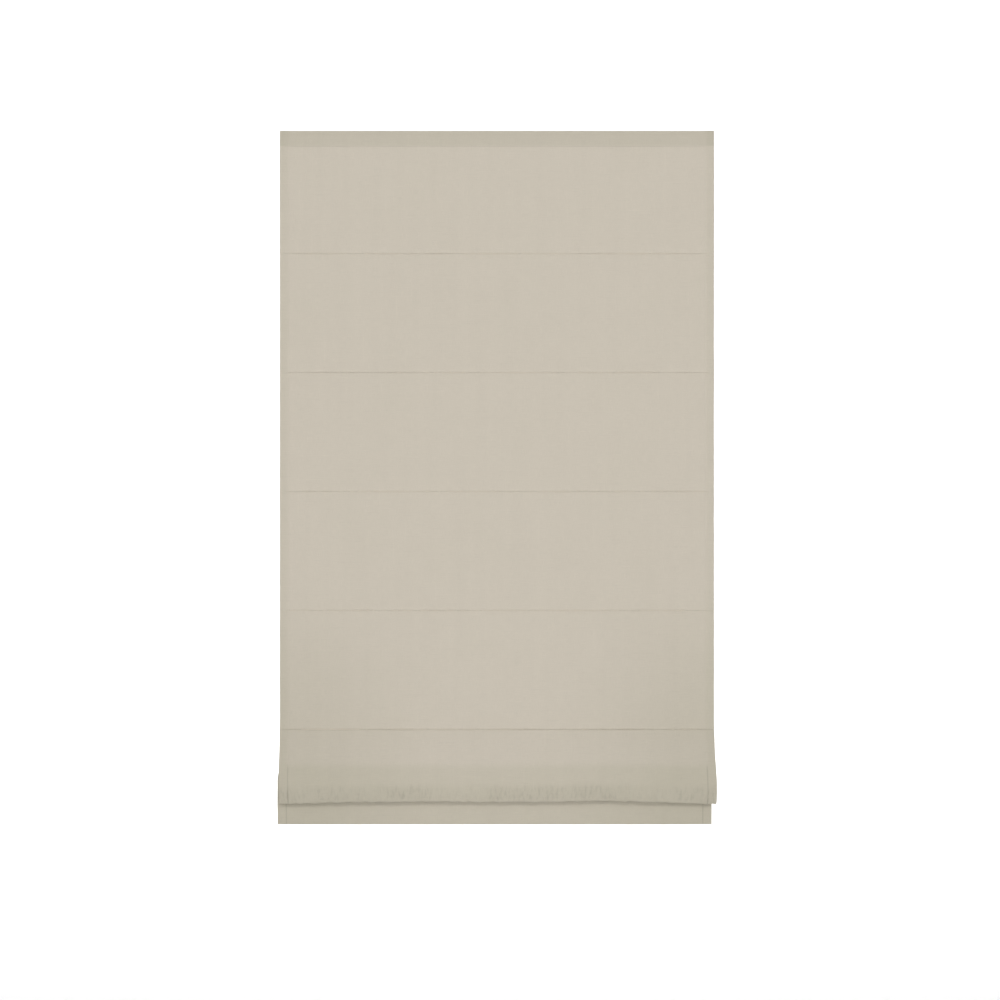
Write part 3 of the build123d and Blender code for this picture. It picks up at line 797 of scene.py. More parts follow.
def join(pieces: Sequence[bpy.types.Object], name: str) -> bpy.types.Object:
    """Joins several meshes into one piece.

    Args:
        pieces: The meshes, each with its place already in its mesh.
        name: The name of the joined piece.

    Returns:
        The joined piece.
    """
    take(pieces[0])
    for piece in pieces:
        piece.select_set(True)
    if len(pieces) > 1:
        bpy.ops.object.join()
    return named(bpy.context.view_layer.objects.active, name)


def points_of(piece: bpy.types.Object) -> np.ndarray:
    """A mesh's points, one row each, in metres.

    Args:
        piece: The mesh.

    Returns:
        One row of x, y and z for each point.
    """
    points = np.zeros(3 * len(piece.data.vertices))
    piece.data.vertices.foreach_get("co", points)
    return points.reshape(-1, 3)


def set_points(piece: bpy.types.Object, points: np.ndarray) -> None:
    """Moves a mesh's points to new places, one row each."""
    piece.data.vertices.foreach_set("co", np.ascontiguousarray(points).ravel())
    piece.data.update()


def dress(piece: bpy.types.Object, material: bpy.types.Material) -> bpy.types.Object:
    """Gives a piece one material all over.

    Args:
        piece: The piece.
        material: Its finish.

    Returns:
        The same piece.
    """
    piece.data.materials.clear()
    piece.data.materials.append(material)
    return piece


def woven_grid(name: str, across: np.ndarray, along: np.ndarray) -> bpy.types.Object:
    """Adds a grid of cloth and gives it a map of where each point lies on the flat cut.

    Args:
        name: The piece's name.
        across: Places of the columns on the flat cloth, in metres.
        along: Places of the rows on the flat cloth, in metres.

    Returns:
        The flat piece, whose points run row by row.
    """
    deselect()
    bpy.ops.mesh.primitive_grid_add(
        x_subdivisions=len(across) - 1, y_subdivisions=len(along) - 1, size=1.0, calc_uvs=False)
    piece = named(bpy.context.active_object, name)
    flat = np.stack(cells(across, along), axis=1)
    corners = np.zeros(len(piece.data.loops), dtype=np.int32)
    piece.data.loops.foreach_get("vertex_index", corners)
    cloth_map = piece.data.uv_layers.new(name=CLOTH_UV)
    cloth_map.data.foreach_set("uv", flat[corners].ravel())
    return piece


def cells(across: np.ndarray, along: np.ndarray) -> tuple[np.ndarray, np.ndarray]:
    """The place of each point of a grid, row by row: across, and along."""
    return np.tile(across, len(along)), np.repeat(along, len(across))


def smooth(piece: bpy.types.Object, angle: float = 50.0) -> bpy.types.Object:
    """Shades a piece smooth, but for the edges sharper than an angle in degrees.

    Args:
        piece: The piece.
        angle: Edges sharper than this, in degrees, stay crisp.

    Returns:
        The same piece.
    """
    take(piece)
    bpy.ops.object.shade_smooth_by_angle(angle=math.radians(angle))
    return piece


def thicken(piece: bpy.types.Object, thickness: float) -> bpy.types.Object:
    """Gives a sheet its thickness, evenly to both sides, and shades it smooth.

    Args:
        piece: The sheet.
        thickness: In metres.

    Returns:
        The closed piece.
    """
    wall = piece.modifiers.new("thickness", "SOLIDIFY")
    wall.thickness = thickness
    wall.offset = 0.0
    return smooth(apply_all(piece))


# ------------------------------------------------------------------- the cloth


@dataclass(frozen=True)
class Ripple:
    """Smooth waves of many lengths, the same on every run."""

    seed: int
    shortest: float
    longest: float
    waves: int = 16

    def _draw(self) -> tuple[np.ndarray, np.ndarray, np.ndarray]:
        """The waves' numbers a metre, directions and phases.

        Returns:
            One number for each wave, in each of three arrays.
        """
        draw = np.random.default_rng(self.seed)
        lengths = np.exp(draw.uniform(np.log(self.shortest), np.log(self.longest), self.waves))
        turns = draw.uniform(0, 2 * np.pi, self.waves)
        phases = draw.uniform(0, 2 * np.pi, self.waves)
        return 2 * np.pi / lengths, turns, phases

    def along(self, place: np.ndarray) -> np.ndarray:
        """Waves along one line, mostly from -1 to 1.

        Args:
            place: Where the waves are read.

        Returns:
            Their height at each place.
        """
        numbers, _, phases = self._draw()
        waves = [np.sin(place * number + phase) for number, phase in zip(numbers, phases)]
        return sum(waves) / math.sqrt(self.waves)

    def over(self, across: np.ndarray, along: np.ndarray) -> np.ndarray:
        """Waves over a surface, mostly from -1 to 1.

        Args:
            across: Where the waves are read, one way.
            along: Where they are read, the other way.

        Returns:
            Their height at each place.
        """
        numbers, turns, phases = self._draw()
        waves = [
            np.sin(number * (across * np.cos(turn) + along * np.sin(turn)) + phase)
            for number, turn, phase in zip(numbers, turns, phases)
        ]
        return sum(waves) / math.sqrt(self.waves)


def hump(distance: np.ndarray, width: float) -> np.ndarray:
    """A smooth hump: 1 where distance is 0, and near 0 beyond twice the width."""
    return np.exp(-(distance / width) ** 2)


def rise(place: np.ndarray, start: float, end: float) -> np.ndarray:
    """Rises smoothly from 0 at start to 1 at end."""
    share = np.clip((place - start) / (end - start), 0, 1)
    return share * share * (3 - 2 * share)


def curve_points(corners: Sequence[tuple[float, float]], count: int = 60) -> np.ndarray:
    """Points along a Bezier curve with four control points.

    Args:
        corners: The control points, as (y, z).
        count: How many points to give.

    Returns:
        One row for each point.
    """
    share = np.linspace(0, 1, count)[:, None]
    a, b, c, d = (np.array(corner) for corner in corners)
    left = 1 - share
    return left**3 * a + 3 * left**2 * share * b + 3 * left * share**2 * c + share**3 * d


def arc_points(centre: tuple[float, float], radius: float, start: float, end: float,
               count: int = 24) -> np.ndarray:
    """Points along an arc, from one angle to another, in degrees.

    Args:
        centre: The arc's middle, as (y, z).
        radius: In metres.
        start: The first angle.
        end: The last angle.
        count: How many points to give.

    Returns:
        One row for each point.
    """
    angles = np.radians(np.linspace(start, end, count))
    return np.stack([centre[0] + radius * np.cos(angles), centre[1] + radius * np.sin(angles)], 1)


class SideLine:
    """A line seen from the side, as (y, z) points, that is read by the length along it."""

    def __init__(self, parts: Sequence[np.ndarray], start: float = 0.0) -> None:
        """Joins stretches of points into one line.

        Args:
            parts: Stretches of (y, z) points, each of which starts where the last one ends.
            start: The length that the line's first point counts as.
        """
        points = np.concatenate([np.asarray(part, dtype=float) for part in parts])
        steps = np.linalg.norm(np.diff(points, axis=0), axis=1)
        kept = np.concatenate([[True], steps > 1e-9])
        self.points = points[kept]
        steps = np.linalg.norm(np.diff(self.points, axis=0), axis=1)
        self.lengths = start + np.concatenate([[0.0], np.cumsum(steps)])

    @property
    def end(self) -> float:
        """The length at which the line ends."""
        return float(self.lengths[-1])

    def at(self, length: np.ndarray) -> tuple[np.ndarray, np.ndarray]:
        """The y and z at some lengths along the line.

        Args:
            length: Lengths along the line.

        Returns:
            The y and the z of each.
        """
        y = np.interp(length, self.lengths, self.points[:, 0])
        z = np.interp(length, self.lengths, self.points[:, 1])
        return y, z

    def facing(self, length: np.ndarray, reach: float = 0.0006) -> tuple[np.ndarray, np.ndarray]:
        """The direction that the face side looks in, at some lengths along the line.

        Args:
            length: Lengths along the line.
            reach: How far before and after each length the line's run is taken.

        Returns:
            The y and the z of each direction.
        """
        before = self.at(length - reach)
        after = self.at(length + reach)
        run_y, run_z = after[0] - before[0], after[1] - before[1]
        size = np.maximum(np.hypot(run_y, run_z), 1e-12)
        return run_z / size, -run_y / size


@dataclass
class Drape:
    """How the cloth hangs: its line from the top edge, round the forward fold, to the hem.

    All sizes are in metres; the y values are places, negative towards the room.

    Attributes:
        turn_over: How far the cloth is turned down behind its top edge.
        turn_radius: Of the turned top and side edges.
        thickness: Of the cloth.
        flat_half: Half the width of the flat cut, with its side hems opened out; not used.
        fold_drop: From the fifth seam down to the forward fold's lower edge.
        fold_front_y: The fold's foremost place.
        fold_middle_y: Its lower edge.
        belly_height: From its lower edge up to its foremost place.
        fold_back_y: Its back, just above the lower edge.
        hook_back_y: Where its back meets the turn over the last rod.
        bar_wrap: How far the hem's back lies flat against the bottom bar.
        hem_height: Of the bottom hem.
        hem_stitch_inset: From the hem's inner edge to its stitches.
        flap_top_drop: From the top of the turn over the last rod to where the flap is measured from.
        seam_above_pocket: From each pocket's lower edge to its seam.
        billow: How far the first pleat bows forward.
        slack: How far the other pleats bow back.
        drift: Of the slow waves all over the cloth.
        pucker: Of the gathers along a seam.
        seam_dent: How deep a seam pulls the cloth in.
        ridge_place: How far the ridges on both sides of a seam are from it.
        header_dent: How deep the header's lower row pulls the cloth in.
        header_pucker: Of the gathers along that row.
        hem_stand: How far the doubled side hems stand out.
        hem_groove: How deep the line at their inner edge is.
        edge_slack: Of the waves along the side edges.
        tape_height: From the top edge down to where the cloth leaves the headrail.
        fold_wrinkle: Of the wrinkles in the forward fold.
        flap_wrinkle: Of the wrinkles in the flap.
        fold_lift: How far the fold's lower edge rises in the middle.
        flap_shift: How far the flap hangs to one side.
        corner_flare: How far the fold's right corner stands out.
        corner_spread: How far its left corner does.
        seams: How far each seam lies from the top edge.
    """

    turn_over: float = 0.0065
    turn_radius: float = 0.0007
    thickness: float = 0.00055
    flat_half: float = 0.52
    fold_drop: float = 0.169
    fold_front_y: float = -0.0535
    fold_middle_y: float = -0.0390
    belly_height: float = 0.058
    fold_back_y: float = -0.036
    hook_back_y: float = -0.0296
    bar_wrap: float = 0.031
    hem_height: float = 0.045
    hem_stitch_inset: float = 0.002
    flap_top_drop: float = 0.0023
    seam_above_pocket: float = 0.0025
    billow: float = 0.0015
    slack: float = 0.0007
    drift: float = 0.0005
    pucker: float = 0.00022
    seam_dent: float = 0.0010
    ridge_place: float = 0.0042
    header_dent: float = 0.0003
    header_pucker: float = 0.00012
    hem_stand: float = 0.00022
    hem_groove: float = 0.00018
    edge_slack: float = 0.0007
    tape_height: float = 0.030
    fold_wrinkle: float = 0.0010
    flap_wrinkle: float = 0.0003
    fold_lift: float = 0.006
    flap_shift: float = -0.0055
    corner_flare: float = 0.0035
    corner_spread: float = 0.0010
    seams: list[float] = field(default_factory=list)

    def __post_init__(self) -> None:
        """Works out the cloth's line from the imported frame."""
        low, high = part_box("face_fabric")
        self.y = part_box("loop_tape")[0].y - 0.0005
        self.top = high.z
        self.bottom = low.z + 0.0005
        self.half = high.x
        self.seam_z = [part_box(f"rod_pocket_{rod}")[0].z + self.seam_above_pocket for rod in RODS]
        self.hook_top = self.seam_z[-1] + self.seam_above_pocket
        self.fold_z = self.seam_z[-2] - self.fold_drop
        self.line = self._line()
        self.seams = [self.top - z for z in self.seam_z[:-1]]
        y, z = self.line.points.T
        past_fold = self.line.lengths > self.seams[-1] + self.fold_drop
        junction = past_fold & (z > self.fold_z + 0.010)
        self.fold_end = float(self.line.lengths[junction][0])
        hook = past_fold & (y > self.hook_back_y)
        self.hook_start = float(self.line.lengths[hook][0]) - 0.001
        flap = past_fold & (y >= self.y - 1e-6) & (self.line.lengths > self.hook_start)
        self.flap_start = float(self.line.lengths[flap][0])
        flap_top = self.hook_top - self.flap_top_drop
        self.seams.append(self.flap_start + flap_top - self.seam_z[-1])
        self.bottom_edge = self.flap_start + flap_top - self.bottom
        self.hem_stitch = self.bottom_edge - self.hem_height + self.hem_stitch_inset

    def _line(self) -> SideLine:
        """The cloth's line, whose length counts from the top edge.

        Returns:
            The line, from behind the top edge to the end of the hem.
        """
        y, fold, seam = self.y, self.fold_z, self.seam_z[-2]
        radius = self.turn_radius
        back = y + 2 * radius
        hook_radius = (y - self.hook_back_y) / 2
        hook_z = self.hook_top - hook_radius
        hem_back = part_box("bottom_bar")[1].y + 0.0008
        hem_radius = (hem_back - y) / 2
        belly = fold + self.belly_height
        front_in = [(y, seam), (y - 0.007, seam - 0.012), (self.fold_front_y, belly + 0.030),
                    (self.fold_front_y, belly)]
        front_under = [(self.fold_front_y, belly), (self.fold_front_y, fold + 0.017),
                       (self.fold_middle_y - 0.0048, fold), (self.fold_middle_y, fold)]
        back_up = [(self.fold_middle_y, fold), (self.fold_middle_y + 0.0016, fold),
                   (self.fold_back_y - 0.0004, fold + 0.008), (self.fold_back_y, fold + 0.030)]
        parts = [
            np.array([(back, self.top - self.turn_over)]),
            arc_points((y + radius, self.top - radius), radius, 0, 180),
            np.linspace((y, self.top - radius), (y, seam), 400),
            curve_points(front_in, 160),
            curve_points(front_under),
            curve_points(back_up),
            np.linspace((self.fold_back_y, fold + 0.030), (self.hook_back_y, hook_z), 80),
            arc_points((y - hook_radius, hook_z), hook_radius, 180, 0),
            np.linspace((y, hook_z), (y, self.bottom + hem_radius), 90),
            arc_points((y + hem_radius, self.bottom + hem_radius), hem_radius, 180, 360),
            np.linspace((hem_back, self.bottom + hem_radius), (hem_back, self.bottom + self.bar_wrap), 20),
            np.linspace((hem_back, self.bottom + self.bar_wrap),
                        (y + 0.0013, self.bottom + self.hem_height), 12),
        ]
        before_main = self.turn_over - radius + math.pi * radius
        return SideLine(parts, start=radius - before_main)

    def relief(self, x: np.ndarray, along: np.ndarray) -> np.ndarray:
        """How far the cloth stands towards the room from its line, in metres.

        Args:
            x: Places across the blind.
            along: Lengths from the top edge.

        Returns:
            The height at each place.
        """
        edge = self.half - np.abs(x)
        return (self._hang(x, along) + self._sewn(x, along, edge) + self._side_hem(x, along, edge)
                + self._folds(x, along))

    def _hang(self, x: np.ndarray, along: np.ndarray) -> np.ndarray:
        """The slow waves of the hanging cloth, and how far each pleat bows between its seams.

        Args:
            x: Places across the blind.
            along: Lengths from the top edge.

        Returns:
            The height at each place.
        """
        height = self.drift * Ripple(11, 0.16, 0.5).over(x, along)
        height = height * rise(along, 0.03, 0.12)
        height = height * (1 - rise(along, self.bottom_edge - 0.12, self.bottom_edge))
        previous = self.tape_height
        for number, seam in enumerate(self.seams[:-1]):
            share = np.clip((along - previous) / (seam - previous), 0, 1)
            inside = (along > previous) & (along < seam)
            arch = np.sin(np.pi * share)
            bow = self.billow * (1 + 0.6 * np.cos(np.pi * share)) if number == 0 else -self.slack
            height = height + np.where(inside, bow * arch, 0)
            previous = seam
        return height

    def _sewn(self, x: np.ndarray, along: np.ndarray, edge: np.ndarray) -> np.ndarray:
        """The dent, the ridges and the gathers that each sewn row pulls into the cloth.

        Args:
            x: Places across the blind.
            along: Lengths from the top edge.
            edge: Distances from the nearer side edge.

        Returns:
            The height at each place.
        """
        height = np.zeros_like(along)
        for number, seam in enumerate(self.seams):
            near = along - seam
            fade = 0.45 + 0.55 * rise(edge, 0.0, 0.09)
            uneven = 1 + 0.35 * Ripple(40 + number, 0.03, 0.25).along(x)
            gather = Ripple(60 + number, 0.012, 0.03).along(x) * hump(near, 0.014)
            ridge = hump(np.abs(near) - self.ridge_place, 0.0022)
            height = height + self.pucker * gather * fade
            height = height + fade * uneven * (0.35 * self.seam_dent * ridge
                                               - self.seam_dent * hump(near, 0.0013))
        header = along - HEADER_LOW_ROW
        height = height - self.header_dent * hump(header, 0.0012)
        return height + self.header_pucker * Ripple(81, 0.015, 0.04).along(x) * hump(header, 0.012)

    def _side_hem(self, x: np.ndarray, along: np.ndarray, edge: np.ndarray) -> np.ndarray:
        """The doubled cloth of the side hems, the groove at their inner edge and their slack.

        Args:
            x: Places across the blind.
            along: Lengths from the top edge.
            edge: Distances from the nearer side edge.

        Returns:
            The height at each place.
        """
        doubled = self.hem_stand * (1 - rise(edge, SIDE_HEM_EDGE - 0.0008, SIDE_HEM_EDGE + 0.0012))
        groove = self.hem_groove * hump(edge - SIDE_HEM_EDGE, 0.0009)
        slack = self.edge_slack * Ripple(90, 0.06, 0.3).along(along + 3 * np.sign(x))
        return doubled - groove + slack * (1 - rise(edge, 0.0, 0.06)) * rise(along, 0.03, 0.15)

    def _folds(self, x: np.ndarray, along: np.ndarray) -> np.ndarray:
        """The wrinkles of the forward fold and of the flap below it.

        Args:
            x: Places across the blind.
            along: Lengths from the top edge.

        Returns:
            The height at each place.
        """
        fold = hump(along - (self.fold_end - 0.03), 0.036)
        flap = hump(along - self.bottom_edge + 0.036, 0.03)
        return (self.fold_wrinkle * fold * Ripple(101, 0.02, 0.07).along(x + 0.12 * along)
                + self.flap_wrinkle * flap * Ripple(111, 0.02, 0.09).along(x))

    def place(self, across: np.ndarray, along: np.ndarray, lift: object = 0.0) -> np.ndarray:
        """Where points of the flat cloth lie when it hangs.

        Args:
            across: Places across the flat cloth; past the side edges they are on the hems' backs.
            along: Lengths from the top edge.
            lift: How far above the cloth's middle, towards its face, each point stands.

        Returns:
            One row of x, y and z for each point.
        """
        side = np.sign(across)
        straight = self.half - self.turn_radius
        past = np.maximum(np.abs(across) - straight, 0)
        angle = np.minimum(past / self.turn_radius, np.pi)
        back = past - angle * self.turn_radius
        x = side * (np.minimum(np.abs(across), straight) + self.turn_radius * np.sin(angle) - back)
        behind = self.turn_radius * (1 - np.cos(angle))
        stand = self.relief(x, along) - behind + lift
        y, z = self.line.at(along)
        face_y, face_z = self.line.facing(along)
        folded = rise(along, self.seams[4] + 0.04, self.seams[4] + 0.15)
        opened = rise(along, self.seams[4] - 0.01, self.seams[4] + 0.075)
        unfolded = 1 - rise(along, self.fold_end, self.hook_start)
        swag = folded * unfolded * (1 - (x / self.half) ** 2 + 0.25 * Ripple(121, 0.3, 0.9, 5).along(x))
        flare = self.corner_flare * rise(x, 0.40, self.half) * folded * unfolded
        shift = self.flap_shift * rise(along, self.hook_start, self.hook_start + 0.045)
        spread = self.corner_spread * rise(-x, 0.30, self.half) * opened * unfolded
        return np.stack([x + flare + shift + spread, y + face_y * stand,
                         z + face_z * stand + self.fold_lift * swag], axis=1)


@dataclass
class FaceCloth:
    """The face cloth, in one piece for each pleat, the forward fold and the bottom flap.

    Attributes:
        drape: How the cloth hangs.
        material: Its finish.
        column: Between two columns of the grid.
        row: Between two rows of a pleat.
        fold_row: Between two rows of the fold's slopes.
        flap_row: Between two rows of the flap.
        tight_row: Between two rows round the fold's lower edge.
        slope: How far the fold's front runs before it turns under.
        front_loop: Where the first pleat, once raised, would start to hang as a loop; not used.
        near_seam: Places of the rows next to a seam.
        near_edge: Places of the columns next to a side edge.
    """

    drape: Drape
    material: bpy.types.Material
    column: float = 0.004
    row: float = 0.0065
    fold_row: float = 0.005
    flap_row: float = 0.0055
    tight_row: float = 0.0016
    slope: float = 0.150
    front_loop: float = 0.103
    near_seam: tuple[float, ...] = (
        0.0005, 0.001, 0.0016, 0.0024, 0.0034, 0.0046, 0.006, 0.008, 0.0105, 0.0138, 0.018, 0.023)
    near_edge: tuple[float, ...] = (
        0.4755, 0.4775, 0.4786, 0.4793, 0.4799, 0.4806, 0.4816, 0.4835, 0.487, 0.4905, 0.494,
        0.4965, 0.498, 0.4988)

    def columns(self) -> np.ndarray:
        """Places of the columns, closer together at the side hems and round their turned edges.

        Returns:
            The places, from left to right.
        """
        drape = self.drape
        straight = drape.half - drape.turn_radius
        turned = straight + np.pi * drape.turn_radius * np.linspace(0, 1, 7)
        behind = turned[-1] + np.array([0.002, 0.005, 0.009, 0.013, 0.0165, 0.0185])
        plain = np.arange(self.column, self.near_edge[0] - self.column / 2, self.column)
        right = np.concatenate([plain, self.near_edge, turned, behind])
        return np.concatenate([-right[::-1], [0.0], right])

    def rows(self, start: float, end: float, step: float = 0.0) -> np.ndarray:
        """Places of the rows between two seams, closer together at both of them.

        Args:
            start: Where the upper seam is.
            end: Where the lower seam is.
            step: Between two rows; 0 for the pleats' own.

        Returns:
            The places, from the top down.
        """
        near = np.array(self.near_seam)
        first, last = start + near[-1], end - near[-1]
        count = max(2, round((last - first) / (step or self.row)))
        middle = np.linspace(first, last, count + 1)[1:-1]
        return np.concatenate([[start], start + near, middle, (end - near)[::-1], [end]])

    def piece(self, name: str, along: np.ndarray) -> bpy.types.Object:
        """Makes one piece of the hanging cloth.

        Args:
            name: The piece's name.
            along: Places of its rows, from its upper end to its lower end.

        Returns:
            The finished piece.
        """
        across = self.columns()
        upward = along[::-1]
        cloth = woven_grid(name, across, upward)
        set_points(cloth, self.drape.place(*cells(across, upward)))
        thicken(cloth, self.drape.thickness)
        dress(cloth, self.material)
        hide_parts("face_fabric")
        return cloth

    def pleat(self, number: int) -> bpy.types.Object:
        """One pleat between its rods; the first one hangs in front of the others.

        Args:
            number: The pleat's number, from the top.

        Returns:
            The finished pleat.
        """
        drape = self.drape
        upper_end = -drape.turn_over if number == 1 else drape.seams[number - 2]
        lower_end = drape.seams[number - 1]
        along = self.rows(max(upper_end, 0.0), lower_end)
        if number == 1:
            turned = drape.line.lengths[drape.line.lengths < 0.0006]
            along = np.concatenate([turned[::2], along[along > 0.0007]])
        cloth = self.piece(f"cloth_pleat_{number}", along)
        still_end = self.front_loop if number == 1 else upper_end
        drape.top - still_end
        drape.top - lower_end
        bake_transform(cloth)
        return cloth

    def fold(self) -> tuple[bpy.types.Object, bpy.types.Object]:
        """The forward fold under the fifth rod: its front, and its back up to the last rod.

        Returns:
            The front and the back.
        """
        drape = self.drape
        seam = drape.seams[4]
        slope_end = seam + self.slope
        under = np.arange(slope_end, drape.fold_end - self.tight_row / 2, self.tight_row)
        sloping = self.rows(seam, slope_end, self.fold_row)
        front = self.piece("cloth_fold_front", np.concatenate([sloping[:-1], under, [drape.fold_end]]))
        back = self.piece(
            "cloth_fold_back", self.rows(drape.fold_end, drape.hook_start, self.fold_row))
        join_y, join_z = (float(part) for part in drape.line.at(np.array(drape.fold_end)))
        hook_y, hook_z = (float(part) for part in drape.line.at(np.array(drape.hook_start)))
        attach(front, "pleat_5")
        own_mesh(front)
        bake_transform(back)
        return front, back

    def flap(self) -> bpy.types.Object:
        """The flap below the last rod, with the bottom hem that wraps the bar.

        Returns:
            The finished flap.
        """
        drape = self.drape
        stops = [drape.hook_start, drape.flap_start, drape.seams[5], drape.hem_stitch]
        hook = np.linspace(stops[0], stops[1], 10)
        above = np.array([stops[1] + 0.0012, stops[2] - 0.0005, stops[2], stops[2] + 0.0005])
        middle = np.arange(stops[2] + self.near_seam[4], stops[3] - 0.006, self.flap_row)
        stitched = stops[3] + np.array([-0.004, -0.002, -0.001, 0.0, 0.001, 0.002, 0.004])
        lower = np.arange(stops[3] + 0.009, drape.bottom_edge - 0.007, self.flap_row)
        turned = drape.bottom_edge + np.arange(-0.004, 0.0091, 0.0009)
        behind = np.arange(turned[-1] + 0.004, drape.line.end - 0.002, 0.005)
        along = np.concatenate([hook, above, middle, stitched, lower, turned, behind, [drape.line.end]])
        cloth = self.piece("cloth_hem_flap", along)
        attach(cloth, "hem")
        return cloth

    def build(self) -> list[bpy.types.Object]:
        """Makes the whole cloth, from the top down."""
        return [*(self.pleat(number) for number in range(1, 6)), *self.fold(), self.flap()]


# -------------------------------------------------------------------- stitches


@dataclass
class StitchLine:
    """Lockstitch rows: one short stitch modelled, repeated, and laid into the cloth.

    Attributes:
        drape: How the cloth hangs.
        material: The thread's finish.
        stitch: The length of one stitch.
        pitch: From one stitch to the next.
        radius: Of the thread.
        sunk: How deep a stitch's ends go into the cloth.
        wander: How far a row strays from straight.
        rod_row_inset: How much sooner the rows on the rods stop at each side.
    """

    drape: Drape
    material: bpy.types.Material
    stitch: float = 0.0026
    pitch: float = 0.0032
    radius: float = 0.00021
    sunk: float = 0.00016
    wander: float = 0.00025
    rod_row_inset: float = 0.012

    def straight(self, name: str, reach: float) -> bpy.types.Object:
        """A straight row of stitches along X, through the origin.

        Args:
            name: The row's name.
            reach: Half of the row's length.

        Returns:
            The row.
        """
        deselect()
        middle = (-reach + self.stitch / 2, 0, 0)
        bpy.ops.mesh.primitive_cylinder_add(
            vertices=6, radius=self.radius, depth=self.stitch, rotation=(0, math.pi / 2, 0), location=middle)
        row = named(settle(bpy.context.active_object), name)
        bpy.ops.object.mode_set(mode="EDIT")
        bpy.ops.mesh.select_all(action="SELECT")
        bpy.ops.mesh.bisect(plane_co=middle, plane_no=(1, 0, 0))
        bpy.ops.object.mode_set(mode="OBJECT")
        repeat = row.modifiers.new("repeat", "ARRAY")
        repeat.count = int(2 * reach / self.pitch)
        repeat.use_relative_offset = False
        repeat.use_constant_offset = True
        repeat.constant_offset_displace = (self.pitch, 0, 0)
        return apply_all(row)

    def row(self, name: str, along: float, reach: float, body: str) -> bpy.types.Object:
        """A row of stitches across the cloth.

        Args:
            name: The row's name.
            along: How far the row is from the cloth's top edge.
            reach: Half of the row's length.
            body: The body that the row moves with.

        Returns:
            The finished row.
        """
        row = self.straight(name, reach)
        points = points_of(row)
        run = (points[:, 0] + reach) % self.pitch
        dip = self.sunk * (2 * np.abs(run / self.stitch - 0.5)) ** 2
        lift = points[:, 2] + self.drape.thickness / 2 + 0.6 * self.radius - dip
        wander = self.wander * Ripple(200, 0.05, 0.4).along(points[:, 0])
        set_points(row, self.drape.place(points[:, 0], along + points[:, 1] + wander, lift))
        return self.finish(row, body)

    def finish(self, row: bpy.types.Object, body: str) -> bpy.types.Object:
        """Smooths, colours and fixes a row to its body.

        Args:
            row: The row.
            body: The body that it moves with.

        Returns:
            The finished row.
        """
        dress(smooth(row, 70), self.material)
        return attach(row, body)

    def build(self) -> list[bpy.types.Object]:
        """Makes the header, pleat, last-rod and hem rows.

        Returns:
            The rows, from the top down.
        """
        drape = self.drape
        reach = drape.half - 0.003
        rod_reach = reach - self.rod_row_inset
        rows = [
            self.row("stitches_header_upper", HEADER_TOP_ROW, reach, "head"),
            self.row("stitches_header_lower", HEADER_LOW_ROW, reach, "head"),
        ]
        for number, seam in enumerate(drape.seams[:-1], start=1):
            rows.append(self.row(f"stitches_pleat_{number}", seam, rod_reach, f"pleat_{number}"))
        rows.append(self.row("stitches_last_rod", drape.seams[-1], rod_reach, "hem"))
        rows.append(self.row("stitches_bottom_hem", drape.hem_stitch, reach, "hem"))
        return rows


# ----------------------------------------------------- tapes, pockets and rings


